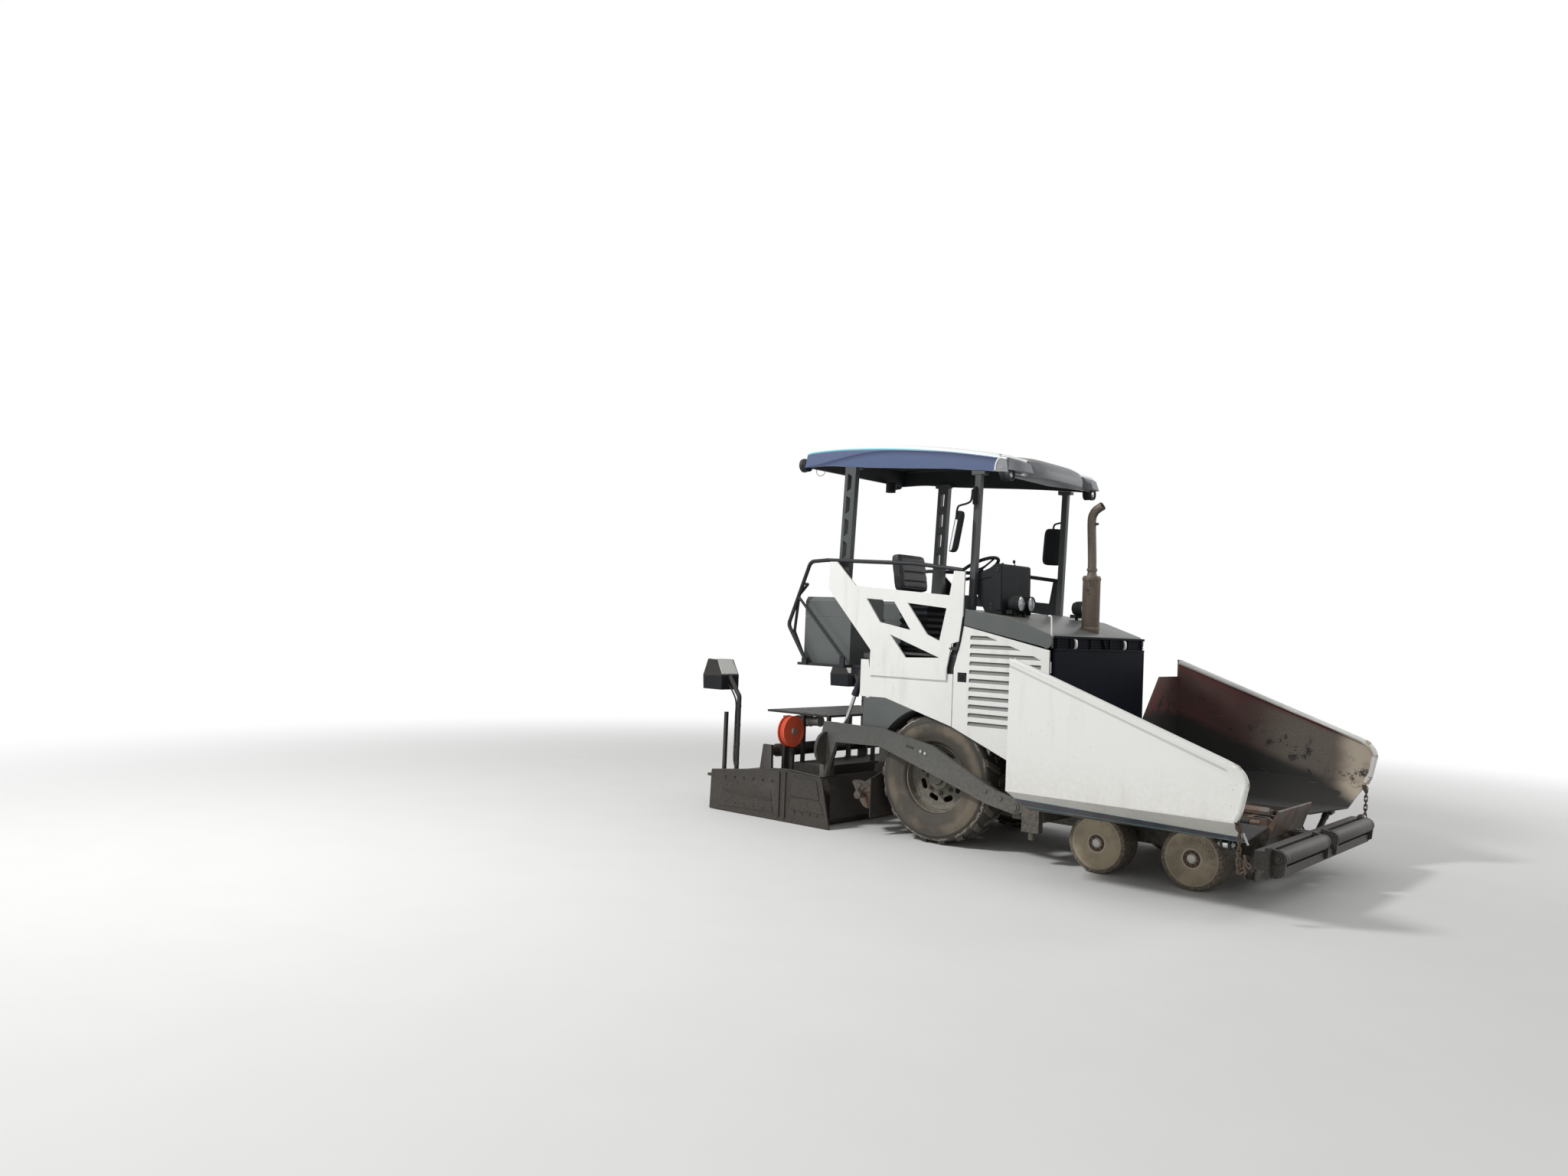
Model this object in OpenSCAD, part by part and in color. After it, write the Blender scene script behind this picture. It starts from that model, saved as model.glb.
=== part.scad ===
// Wheeled asphalt paver: tractor with hopper and conveyors, augers and a towed screed.
// Every module is drawn from the rear axle: +X forward, -Y the right side, Z up from the ground.

/* [Rear wheels] */
// Diameter over the lugs
tyre_d = 1100; // [1000:10:1180]
// Width of the tyre
tyre_w = 365; // [300:5:380]
// Distance from the middle plane to the tyre's outer face
tyre_face = 840; // [820:5:850]
// Height of a lug
lug_h = 20; // [8:1:35]
// Lugs on each side of a tyre
lug_count = 18; // [12:1:24]
// Seat of the tyre on the rim
bead_d = 590; // [500:10:640]
// Diameter of the wheel hub
hub_d = 170; // [150:5:260]
// Diameter of the rear wheel spindle
spindle_d = 120; // [80:5:140]

/* [Front wheels] */
// Diameter of a solid front wheel
front_d = 460; // [400:10:470]
// Width of a front wheel
front_w = 250; // [180:5:270]
// Distance from the middle plane to a front wheel's outer face
front_face = 800; // [790:5:830]
// Distance from the rear axle to the middle of the bogies
bogie_x = 1840; // [1820:5:1860]
// Distance between the two front axles
bogie_base = 734; // [700:2:760]
// Distance of the kingpins from the middle plane
kingpin_y = 490; // [485:1:495]
// Diameter of a kingpin
kingpin_d = 36; // [20:1:44]
// Diameter of a front wheel spindle
stub_d = 60; // [40:1:70]

/* [Frame] */
// Half the width over the main frame's side plates
frame_y = 400; // [380:1:402]
// Thickness of the side plates
frame_t = 15; // [8:1:25]
// Height of the frame's top edge
frame_top = 1180; // [1172:1:1184]
// Height of the frame's underside
frame_low = 260; // [230:1:275]
// Front end of the frame
frame_front = 2600; // [2590:1:2610]
// Rear end of the frame
frame_rear = -880; // [-900:1:-870]
// Underside of the conveyor tunnel's roof
tunnel_top = 700; // [660:1:720]

/* [Body] */
// Distance from the middle plane to the outside of the body's side
body_y = 860; // [856:1:864]
// Thickness of the side panels and doors
panel_t = 18; // [10:1:24]
// Height of the driving floor
floor_z = 1600; // [1560:1:1620]
// Rear wall of the body
body_rear = -690; // [-700:1:-680]
// Front wall of the body, seen from the hopper
wall_x = 1100; // [1090:1:1104]
// Pitch of the louvres in the engine doors
louvre_pitch = 70.8; // [60:0.2:90]
// Height of one louvre's slot
louvre_gap = 28; // [14:1:40]
// Thickness of the sheet of hood and walls
sheet = 8; // [4:1:12]

/* [Platform] */
// Rear edge of the platform behind the body
platform_rear = -1550; // [-1600:5:-1520]
// Height of the platform
platform_z = 1455; // [1440:1:1470]
// Half the width of the gap between the cabinets
gangway = 260; // [220:5:320]
// Height of a cabinet's hinge line
cabinet_z = 1886; // [1800:2:1920]
// Height of a cabinet's lid
lid_h = 184; // [100:2:200]
// Diameter of the bent rails
rail_d = 36; // [24:1:40]

/* [Canopy] */
// Half the width of the canopy
canopy_y = 800; // [790:1:820]
// Height of the rear end's lower edge
canopy_z = 3284; // [3250:1:3320]
// Wall of the canopy shell
canopy_t = 25; // [12:1:35]
// Width of a post across the machine
post_w = 60; // [40:1:70]

/* [Hopper] */
// Distance from the middle plane to the outside of an open wing
wing_y = 1570; // [1520:5:1620]
// Height of the wing hinge
hinge_z = 500; // [498:1:504]
// Distance of the wing hinge from the middle plane
hinge_y = 455; // [452:1:458]
// Diameter of the wing hinge pin
hinge_d = 24; // [16:1:28]
// Thickness of the wing sheet
wing_t = 12; // [8:1:20]
// Rear edge of the wings
wing_rear = 1115; // [1112:1:1120]
// Front edge of the wings' floor
wing_front = 2770; // [2740:5:2800]
// Top of the wings at their rear
wing_top = 1620; // [1560:5:1680]
// Diameter of the rolled rim round a wing
rim_d = 46; // [30:1:56]

/* [Conveyors] */
// Height of the conveyor's drums
drum_z = 405; // [400:1:410]
// Diameter over the conveyor chain
drum_d = 190; // [170:2:200]
// Pitch of the slats
slat_pitch = 160; // [120:5:240]
// Width of one conveyor
conveyor_w = 320; // [280:5:330]

/* [Push rollers] */
// Diameter of a push roller
roller_d = 110; // [80:1:120]
// Distance of the rollers in front of the rear axle
roller_x = 2900; // [2880:1:2920]
// Height of the rollers
roller_z = 380; // [370:1:390]
// Outer end of a roller
roller_end = 1055; // [900:5:1060]
// Diameter of the push beam's swivel pin
swivel_d = 60; // [40:1:70]

/* [Augers] */
// Gap between the tyres and the auger flights
auger_gap = 40; // [30:1:60]
// Height of the auger shaft
auger_z = 330; // [300:1:340]
// Diameter over the flights
auger_d = 260; // [200:2:260]
// Pitch of the flights
auger_pitch = 260; // [200:5:320]
// Outer end of an auger
auger_end = 930; // [800:5:940]

/* [Screed] */
// Tow point ahead of the rear axle
tow_x = 826; // [816:1:836]
// Height of the tow point
tow_z = 429; // [420:1:440]
// Inner face of a tow arm
arm_y = 875; // [872:1:880]
// Thickness of a tow arm
arm_t = 40; // [20:1:48]
// Diameter of the tow pin
tow_d = 50; // [30:1:60]
// Height of the screed plate above the ground
screed_z = 5; // [2:1:40]
// Half the width of the fixed screed
screed_y = 900; // [860:5:920]
// Distance from the middle plane to the outside of an end gate
gate_y = 1050; // [1040:5:1080]
// Rear edge of the screed's step
step_rear = -2500; // [-2520:1:-2450]
// Diameter of the sliding guide tube
guide_d = 90; // [60:2:100]

/* [Hidden] */
// Clearance of a shaft in its bore, on the radius
fit = 0.05;
// Gap between pieces that sit on each other
seat = 0.3;
// Gap between moving pieces
clear = 6;
tyre_r = tyre_d / 2;
tyre_y = tyre_face - tyre_w / 2;
front_r = front_d / 2;
front_y = front_face - front_w / 2;
auger_x = -tyre_r - auger_gap - auger_d / 2;
arch_r = tyre_r + 50;
side_y = body_y - panel_t;
platform_y = 830;
post_y = canopy_y - post_w / 2;
lid_pin_y = 10;
reel_y = -880;
reel_z = 810;
auger_stub = 36;
lip_out = 14;
panel_out = 6;
lamp_x = 565;
lamp_y = 745;
console_x = 548;
wheel_at = [190, 2312];
slope_x = 1130;
function hood_z(x) = 1987 - (x - 274) * 57 / 426;
LID_HINGES = [-1460, -1160];
x_front = roller_x + roller_d / 2;
x_rear = step_rear;
x_mid = (x_front + x_rear) / 2;
SIDES = [-1, 1];
BOGIES = [bogie_x + bogie_base / 2, bogie_x - bogie_base / 2];

// Draws its children on the right side, or mirrored on the left
module on_side(s) {
    if (s < 0) children();
    else mirror([0, 1, 0]) children();
}

// Moves the machine so that the middle of its length is at the origin
module placed() {
    translate([-x_mid, 0, 0]) children();
}

// Outline drawn in x and z, from y0 to y1
module plate_xz(points, y0, y1) {
    translate([0, y1, 0]) rotate([90, 0, 0]) linear_extrude(y1 - y0) polygon(points);
}

// Outline drawn in y and z, from x0 to x1
module plate_yz(points, x0, x1) {
    translate([x0, 0, 0]) rotate([90, 0, 90]) linear_extrude(x1 - x0) polygon(points);
}

// Box given by its low and high corner
module box(low, high) {
    translate(low) cube(high - low);
}

// Cylinder along X, Y or Z between two stations
module rod_x(x0, x1, y, z, d) {
    translate([x0, y, z]) rotate([0, 90, 0]) cylinder(h = x1 - x0, d = d, $fn = 48);
}

module rod_y(y0, y1, x, z, d) {
    translate([x, y1, z]) rotate([90, 0, 0]) cylinder(h = y1 - y0, d = d, $fn = 48);
}

module rod_z(z0, z1, x, y, d) {
    translate([x, y, z0]) cylinder(h = z1 - z0, d = d, $fn = 48);
}

// Round bar from p to q
module bar(p, q, d) {
    v = q - p;
    turn = atan2(v[1], v[0]);
    tilt = acos(v[2] / norm(v));
    translate(p) rotate([0, tilt, turn]) cylinder(h = norm(v), d = d, $fn = 32);
}

function unit(v) = v / norm(v);
// Turn of a path at its point i, in degrees, positive to the left
function turn_at(p, i) = let (a = unit(p[i] - p[i - 1]), b = unit(p[i + 1] - p[i]))
    atan2(a[0] * b[1] - a[1] * b[0], a * b);
// Length that the bend at point i takes from each of its sides
function cut_at(p, i, r) = (i == 0 || i == len(p) - 1) ? 0 : r * tan(abs(turn_at(p, i)) / 2);

// Tube bent along points drawn in x and z, at y, with bends of radius r;
// its straight lengths end inside the bends, whose wall is a little stretched
module pipe_xz(p, y, d, r) {
    stretch = 0.5;
    function reach(i) = (i == 0 || i == len(p) - 1) ? 0 : min(sqrt(stretch * r), 0.7 * cut_at(p, i, r));
    translate([0, y, 0]) rotate([90, 0, 0]) {
        for (i = [0:len(p) - 2]) {
            a = unit(p[i + 1] - p[i]);
            low = cut_at(p, i, r) - reach(i);
            high = cut_at(p, i + 1, r) - reach(i + 1);
            translate(p[i] + a * low) rotate([0, 0, atan2(a[1], a[0])]) rotate([0, 90, 0])
                cylinder(h = norm(p[i + 1] - p[i]) - low - high, d = d, $fn = 32);
        }
        for (i = [1:1:len(p) - 2]) {
            a = unit(p[i] - p[i - 1]);
            turn = turn_at(p, i);
            left = turn > 0 ? 1 : -1;
            start = p[i] - a * cut_at(p, i, r);
            heading = atan2(a[1], a[0]) - left * 90;
            translate(start + r * left * [-a[1], a[0]]) rotate([0, 0, left > 0 ? heading : heading + turn])
                rotate_extrude(angle = abs(turn), $fn = 64)
                    translate([r, 0]) circle(d = d + 2 * stretch, $fn = 32);
        }
    }
}

// Slot with round ends, along x
module slot_2d(l, d) {
    square([l - d, d], center = true);
    for (s = SIDES) translate([s * (l - d) / 2, 0]) circle(d = d, $fn = 24);
}

// Rear wheels
module rear_tyre(s) {
    half = tyre_w / 2;
    carcass = tyre_r - lug_h;
    // radius and distance from the middle of the tyre
    half_profile = [
        [bead_d / 2, 0.78 * half], [bead_d / 2 + 30, 0.93 * half], [tyre_r * 0.76, half],
        [tyre_r * 0.90, 0.97 * half], [carcass - 6, 0.86 * half], [carcass, 0.60 * half]
    ];
    profile = concat(half_profile, [for (i = [5:-1:0]) [half_profile[i][0], -half_profile[i][1]]]);
    color("#2b2b2a") translate([0, s * tyre_y, tyre_r]) rotate([90, 0, 0]) {
        rotate_extrude($fn = 72) polygon(profile);
        intersection() {
            cylinder(r = tyre_r, h = 2 * half * 0.96, center = true, $fn = 72);
            for (side = SIDES, i = [0:lug_count - 1])
                rotate([0, 0, (i + (side > 0 ? 0 : 0.5)) * 360 / lug_count])
                    translate([carcass - 12, -26, side > 0 ? 0 : -half])
                        cube([lug_h + 30, 52, half]);
        }
    }
}

module rear_rim(s) {
    // radius and distance outward from the middle of the wheel
    r = bead_d / 2 - seat;
    barrel = [
        [r, -0.74 * tyre_w / 2], [r, 0.74 * tyre_w / 2], [r - 14, 0.74 * tyre_w / 2],
        [r - 14, 60], [r - 60, 40], [hub_d / 2 - 5, 40], [hub_d / 2 - 5, 24], [r - 62, 24],
        [r - 14, 44], [r - 14, -0.74 * tyre_w / 2]
    ];
    color("#4b4b48") translate([0, s * tyre_y, tyre_r]) rotate([s > 0 ? -90 : 90, 0, 0])
        difference() {
            union() {
                rotate_extrude($fn = 72) polygon(barrel);
                translate([0, 0, -110]) cylinder(d = hub_d, h = 190, $fn = 48);
                translate([0, 0, 80]) cylinder(d = hub_d * 0.62, h = 40, $fn = 48);
                for (i = [0:7]) rotate([0, 0, i * 45])
                    translate([135, 0, 30]) cylinder(d = 26, h = 30, $fn = 24);
            }
            translate([0, 0, -111]) cylinder(d = spindle_d + 2 * fit, h = 151, $fn = 48);
            for (i = [0:7]) rotate([0, 0, 22.5 + i * 45]) translate([188, 0, 0])
                rotate([0, 0, 90]) linear_extrude(80) slot_2d(95, 48);
        }
}

// Frame
module chassis() {
    rear_cut = auger_x + auger_d / 2 + 50;
    side = [
        [frame_rear, 480], [frame_rear, frame_top], [wall_x - 22, frame_top], [wall_x - 22, 560],
        [slope_x, 470],
        [frame_front, 470], [frame_front, frame_low], [rear_cut, frame_low], [rear_cut, 480]
    ];
    inner = frame_y - frame_t;
    color("#3a3c3e") {
        for (s = SIDES) on_side(s) {
            difference() {
                plate_xz(side, -frame_y, -inner);
                for (x = BOGIES) rod_y(-frame_y - 1, -inner + 1, x, 315, 74);
            }
            // final drive and wheel spindle
            rod_y(-500, -inner, 0, tyre_r, 300);
            rod_y(-tyre_y - 30, -499, 0, tyre_r, spindle_d);
            // tow bracket with its pin and the levelling ram
            box([780, -858, 330], [1060, -frame_y, 545]);
            rod_y(-arm_y - arm_t - 12, -857, tow_x, tow_z, tow_d);
            box([900, -925, 250], [1050, -858, 480]);
            rod_z(190, 251, 975, -892, 50);
            // clevis of the wing ram
            for (x = [2540, 2608]) plate_yz([
                [-inner, 270], [-inner, 400], [-600, 240], [-672, 185], [-672, 115], [-600, 115]
            ], x, x + 12);
            rod_x(2540, 2620, -ram_foot[0], ram_foot[1], 28);
            // lashing eye
            difference() {
                plate_xz([
                    [1150, 300], [1150, 450], [1200, 450], [1290, 380], [1290, 300]
                ], -frame_y - 25, -frame_y);
                rod_y(-frame_y - 26, -frame_y + 1, 1225, 360, 50);
            }
            // bracket of the lift ram
        }
        box([frame_rear, -inner, 620], [frame_rear + 15, inner, frame_top]);
        box([frame_rear + 15, -inner, tunnel_top], [wall_x - 22, inner, tunnel_top + 15]);
        box([rear_cut, -inner, frame_low], [2500, inner, frame_low + 12]);
        box([2585, -inner, frame_low], [frame_front, inner, 470]);
        // swivel of the push beam
        box([frame_front, -90, 335], [2700, 90, 385]);
        rod_z(335, 385, 2700, 0, 100);
        rod_z(292, 428, 2700, 0, swivel_d);
    }
}

module engine_block() {
    color("#55585a") box([330, -330, tunnel_top + 15 + seat], [1010, 330, 1620]);
}

module fenders() {
    r = arch_r;
    color("#55595c") for (s = SIDES) on_side(s) {
        difference() {
            plate_xz([
                [-743, 931], [-743, 1185], [-500, 1187], [-140, 1088], [175, 997], [560, 836],
                [520, 760], [-447, 860]
            ], -body_y + 2, -side_y);
            rod_y(-body_y, -side_y + 1, 0, tyre_r, 2 * r);
        }
        intersection() {
            difference() {
                rod_y(-side_y, -frame_y - seat, 0, tyre_r, 2 * r + 16);
                rod_y(-body_y, -frame_y + 1, 0, tyre_r, 2 * r);
            }
            box([-700, -body_y, 800], [560, -frame_y, frame_top]);
        }
    }
}

// Body
module side_panels() {
    color("white") for (s = SIDES) on_side(s) {
        plate_xz([
            [-785, 1191], [-785, 1520], [-700, 1520], [-690, 1440], [178, 1440], [178, 1003],
            [-145, 1094], [-505, 1193]
        ], -body_y, -side_y);
    }
}

module deck_panels() {
    color("white") for (s = SIDES) on_side(s) difference() {
        plate_xz([
            [-677, 1385], [-672, 1607], [-1167, 2137], [-1163, 2388], [-1083, 2387], [-860, 2171],
            [129, 2099], [165, 2306], [272, 2298], [266, 1939], [235, 1716], [166, 1696],
            [124, 1488], [121, 1385]
        ], -body_y - panel_t, -body_y - seat);
        for (cut = [
            [[-736, 2060], [-439, 2043], [-253, 1794], [-577, 1852]],
            [[-295, 2028], [103, 1990], [43, 1712], [-83, 1764]],
            [[-467, 1750], [49, 1571], [-295, 1557]]
        ]) plate_xz(cut, -body_y - panel_t - 1, -body_y + 1);
    }
}

module engine_door(s) {
    top = 1776;
    fall = 0.3314;
    color("white") on_side(s) {
        difference() {
            plate_xz([
                [185, 1001], [185, 1490], [245, 1712], [268, 1846], [1060, 1679], [1060, 636],
                [726, 775]
            ], -body_y, -side_y);
            for (i = [0:10]) {
                z = 1754 - i * louvre_pitch;
                right = min(990, 470 + (top - z - louvre_gap / 2) / fall);
                box([335, -body_y - 1, z - louvre_gap / 2], [right, -side_y + 1, z + louvre_gap / 2]);
            }
            box([224, -body_y - 1, 1380], [311, -side_y - 6, 1459]);
        }
        // pressed lips that lean out over the slots
        for (i = [1:10]) {
            z = 1754 - i * louvre_pitch + louvre_gap / 2;
            right = min(990, 470 + (top - z) / fall);
            plate_yz([
                [-body_y + 2, z + 3], [-body_y - 7, z - 3], [-body_y - lip_out, z - 18],
                [-body_y - lip_out + 2, z - 20], [-body_y - 4, z - 8], [-body_y + 2, z - 1]
            ], 338, right - 3);
        }
        // hinge barrels at the front edge
        for (z = [760, 1100, 1500]) rod_z(z, z + 90, 1060, -side_y + 4, 20);
    }
}

module hood() {
    outer = [[264, 1853], [274, 1987], [700, 1930], [1040, 1812], [1078, 1775], [1078, 1690]];
    inner = [
        [266, 1700], [264 + sheet, 1853], [274 + sheet, 1986 - sheet], [699, 1930 - sheet],
        [1036, 1811 - sheet], [1078 - sheet, 1770 - sheet / 2], [1078 - sheet, 1600]
    ];
    color("#5c6064") difference() {
        plate_xz(outer, -body_y, body_y);
        plate_xz(inner, -body_y + sheet, body_y - sheet);
    }
}

module front_wall() {
    y = side_y - clear;
    x0 = wall_x - 22 + seat;
    color("#262a30") {
        difference() {
            box([x0, -y, 560], [wall_x, y, 1675]);
            box([x0 - 1, -frame_y, 550], [wall_x + 1, frame_y, tunnel_top]);
        }
        // vent band below the hood
        for (z = [1675, 1775]) box([x0, -y, z], [wall_x, y, z + 22]);
        for (i = [-7:7]) box([x0 + 4, i * 110 - 6, 1690], [wall_x - 2, i * 110 + 6, 1780]);
    }
}

module deck() {
    y = side_y - seat;
    color("#3f4245") {
        box([body_rear, -y, floor_z - 20], [253, y, floor_z]);
        box([body_rear, -y, frame_top + seat], [253, y, frame_top + 12]);
        box([body_rear, -y, frame_top + seat], [body_rear + 12, y, floor_z]);
        box([252, -y, frame_top + seat], [264 - seat, y, 1980]);
        for (s = SIDES) on_side(s) for (y0 = [-832, -780]) plate_xz([
            [body_rear + 1, 1480], [body_rear + 1, 1575], [-775, 1575], [-775, 1540], [-724, 1524]
        ], y0, y0 + 12);
        for (s = SIDES) on_side(s) rod_y(-832, -768, lift_top[0], lift_top[1], lift_pin);
    }
}

module platform() {
    color("#33373b") {
        box([platform_rear, -platform_y, platform_z - 25], [-990, platform_y, platform_z]);
        box([-991, -730, platform_z - 25], [body_rear - seat, 730, platform_z]);
        for (s = SIDES) on_side(s)
            box([-1000, -720, platform_z - 80], [body_rear - seat, -680, platform_z - 24]);
    }
}

module cabinets() {
    color("#666b6f") for (s = SIDES) on_side(s) {
        difference() {
            box([-1530, -760, platform_z + seat], [-990, -gangway, cabinet_z]);
            box([-1522, -752, platform_z + 20], [-998, -gangway - 8, cabinet_z + 1]);
        }
        // hinge pins of the lid
        for (x = LID_HINGES) {
            for (dx = [0, 91]) {
                box([x + dx, -gangway - 1, cabinet_z - 14], [x + dx + 9, -gangway + 15, cabinet_z - 0.5]);
                box([x + dx, -gangway + 2, cabinet_z - 1], [x + dx + 9, -gangway + 15, cabinet_z + 5]);
            }
            rod_x(x, x + 100, -gangway + lid_pin_y, cabinet_z + 0.5, 8);
        }
    }
}

module lid(s) {
    color("#666b6f") on_side(s) difference() {
        plate_yz([
            [-760, cabinet_z + 1], [-760, cabinet_z + lid_h - 40], [-730, cabinet_z + lid_h],
            [-gangway - 20, cabinet_z + lid_h], [-gangway, cabinet_z + lid_h - 30], [-gangway, cabinet_z + 1]
        ], -1530, -990);
        box([-1522, -752, cabinet_z], [-998, -gangway - 8, cabinet_z + lid_h - 50]);
    }
    color("#666b6f") on_side(s) for (x = LID_HINGES) difference() {
        union() {
            rod_x(x + 12, x + 88, -gangway + lid_pin_y, cabinet_z + 0.5, 16);
            box([x + 12, -gangway - 4, cabinet_z + 2], [x + 88, -gangway + lid_pin_y, cabinet_z + 8]);
        }
        rod_x(x, x + 100, -gangway + lid_pin_y, cabinet_z + 0.5, 8 + 2 * fit);
    }
}

module handrails() {
    rail = -body_y + rail_d / 2;
    color("#2d3134") for (s = SIDES) on_side(s) {
        pipe_xz([
            [236, 2312], [-248, 2370], [-1223, 2405], [-1422, 2392], [-1664, 1800], [-1450, 1490]
        ], rail, rail_d, 70);
        bar([-1557, rail, 2067], [-1010, rail, 1530], 26);
        for (foot = [[-1450, 1500], [-1010, 1530]])
            box([foot[0] - 25, rail - 10, platform_z - 20], [foot[0] + 25, -platform_y - seat, foot[1]]);
        // second rail, inside the first
        inner = rail + 39;
        rod_y(rail, inner, -1478, 2184, 24);
        pipe_xz([[-1478, 2184], [-1579, 2082], [-1620, 1740], [-1480, 1480]], inner, 28, 45);
        box([-1510, inner - 14, platform_z + seat], [-1450, inner + 14, platform_z + 40]);
    }
}

module seat() {
    color("#1f2022") {
        box([-620, -700, floor_z + 420], [-130, -200, floor_z + 520]);
        plate_xz([[-600, 2110], [-656, 2490], [-560, 2500], [-487, 2130]], -690, -210);
        box([-560, -640, floor_z + seat], [-240, -260, floor_z + 421]);
    }
}

module console() {
    color("#3b3f43") {
        plate_xz([
            [396, hood_z(396) + seat], [300, 2136], [252, 2184], [246, 2200], [246, 2246], [256, 2264],
            [294, 2289], [416, 2336], [488, 2374], [500, 2377], [526, 2374], [538, 2362], [542, 2285],
            [console_x, hood_z(console_x) + seat]
        ], -post_y + 26, -250);
        bar([wheel_at[0] + 72, -500, wheel_at[1] - 124.7], [wheel_at[0], -500, wheel_at[1]], 50);
    }
}

module steering_wheel() {
    color("#1c1d1f") translate([wheel_at[0], -500, wheel_at[1]]) rotate([0, -30, 0]) {
        translate([0, 0, seat]) cylinder(d = 70, h = 36, $fn = 32);
        translate([0, 0, 40]) rotate_extrude($fn = 48) translate([185, 0]) circle(d = 30, $fn = 16);
        for (i = [0:2]) rotate([0, 0, i * 120]) translate([0, -12, 26]) cube([185, 24, 14]);
    }
}

module exhaust() {
    color("#6b4a3a") {
        difference() {
            union() {
                rod_z(1790, 2320, 930, 100, 150);
                for (z = [1858, 2280]) rod_z(z, z + 24, 930, 100, 158);
            }
            plate_xz([[700, 1930 + seat], [1040, 1812 + seat], [1040, 1700], [700, 1700]], 0, 200);
        }
        pipe_xz([[930, 2300], [930, 2520], [912, 2830], [1010, 2935]], 100, 74, 90);
    }
}

// Canopy
module canopy() {
    side = [
        [-1575, canopy_z], [-1540, canopy_z + 160], [-1500, canopy_z + 175], [-1106, canopy_z + 179],
        [-557, canopy_z + 146], [-43, canopy_z + 92], [560, canopy_z + 2], [600, canopy_z - 40],
        [600, canopy_z - 172], [575, canopy_z - 184], [510, canopy_z - 154], [-135, canopy_z - 89],
        [-916, canopy_z - 35], [-1280, canopy_z]
    ];
    inside = [
        [-1545, canopy_z - 200], [-1545, canopy_z + 60], [-1500, canopy_z + 179 - canopy_t - 20],
        [-1106, canopy_z + 179 - canopy_t], [-557, canopy_z + 146 - canopy_t],
        [-43, canopy_z + 92 - canopy_t], [540, canopy_z - canopy_t], [540, canopy_z - 300]
    ];
    color("#40507c") difference() {
        union() {
            plate_xz(side, -canopy_y, canopy_y);
            plate_xz([
                [560, canopy_z + 40], [100, canopy_z + 90], [100, canopy_z - 100],
                [700, canopy_z - 165], [720, canopy_z - 90], [640, canopy_z + 10]
            ], -420, 420);
            // rounded front corners
            for (s = SIDES) on_side(s) translate([0, 0, canopy_z - 160]) linear_extrude(104) polygon([
                [580, -canopy_y], [628, -canopy_y + 18], [668, -canopy_y + 65],
                [690, -canopy_y + 140], [700, -400], [580, -400]
            ]);
        }
        for (s = SIDES) on_side(s)
            rod_y(-canopy_y - 1, -lamp_y + 75, lamp_x, canopy_z - 189, 170);
        plate_xz(inside, -canopy_y + canopy_t, canopy_y - canopy_t);
    }
}

module posts() {
    color("#33373a") for (s = SIDES) on_side(s) {
        difference() {
            plate_xz([
                [-1133, 2120], [-1013, 2120], [-968, canopy_z - 30 - seat],
                [-1088, canopy_z - 18.5 - seat]
            ], -post_y - post_w / 2, -post_y + post_w / 2);
            for (i = [0:3]) plate_xz([
                [-1090 + i * 9, 2420 + i * 205], [-1045 + i * 9, 2445 + i * 205],
                [-1040 + i * 9, 2560 + i * 205], [-1085 + i * 9, 2585 + i * 205]
            ], -post_y - post_w, -post_y + post_w);
        }
        box([-1120, -body_y, 2140], [-1020, -post_y - post_w / 2 + 1, 2300]);
        plate_xz([
            [262, 1990 + seat], [312, 1984 + seat], [345, canopy_z - 144], [290, canopy_z - 136]
        ], -post_y - 25, -post_y + 25);
        plate_xz([
            [255, canopy_z - 166], [380, canopy_z - 166], [380, canopy_z - 141 - seat],
            [255, canopy_z - 128.5 - seat]
        ], -canopy_y, -post_y + 40);
        box([-1110, -canopy_y + canopy_t + seat, canopy_z - 44], [-940, -post_y + 50, canopy_z - 9]);
    }
}

module mirrors() {
    color("#1e2022") for (s = SIDES) on_side(s) {
        rod_y(-850, -post_y - 25 - seat, 300, 2980, 18);
        pipe_xz([[300, 2985], [285, 2880], [165, 2850], [150, 2760]], -850, 18, 30);
        translate([165, -850, 2635]) rotate([0, 0, -49]) rotate([-9, 0, 0]) plate_xz([
            [-95, -150], [-70, -175], [70, -175], [95, -150], [95, 150], [70, 175], [-70, 175], [-95, 150]
        ], -30, 30);
    }
}

module canopy_lamps() {
    color("#2a2c2e") {
        for (s = SIDES) on_side(s) {
            rod_x(-1640, -1575 - seat, -canopy_y + 60, canopy_z + 30, 120);
            rod_x(lamp_x - 45, lamp_x + 35, -lamp_y, canopy_z - 176, 100);
            rod_z(canopy_z - 130, canopy_z - 104.4 - seat, lamp_x, -lamp_y, 16);
        }
        rod_z(canopy_z - 95, canopy_z + 5, -1545 + 50 + seat, 480, 100);
    }
}

module hood_lamps() {
    color("#2a2c2e") for (s = SIDES) on_side(s) {
        for (y = [-648, -479]) {
            translate([console_x + 27, y, 2048]) rotate([0, 90, 0]) rotate_extrude($fn = 48) polygon([
                [0, 0], [36, 0], [53, 10], [63, 34], [65, 58], [65, 110], [58, 110], [56, 102], [0, 102]
            ]);
            rod_z(hood_z(console_x + 47) + seat, 2000, console_x + 62, y, 30);
        }
        box([console_x + 32, -725, 1960], [console_x + 92, -405, 1992]);
    }
}

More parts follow.
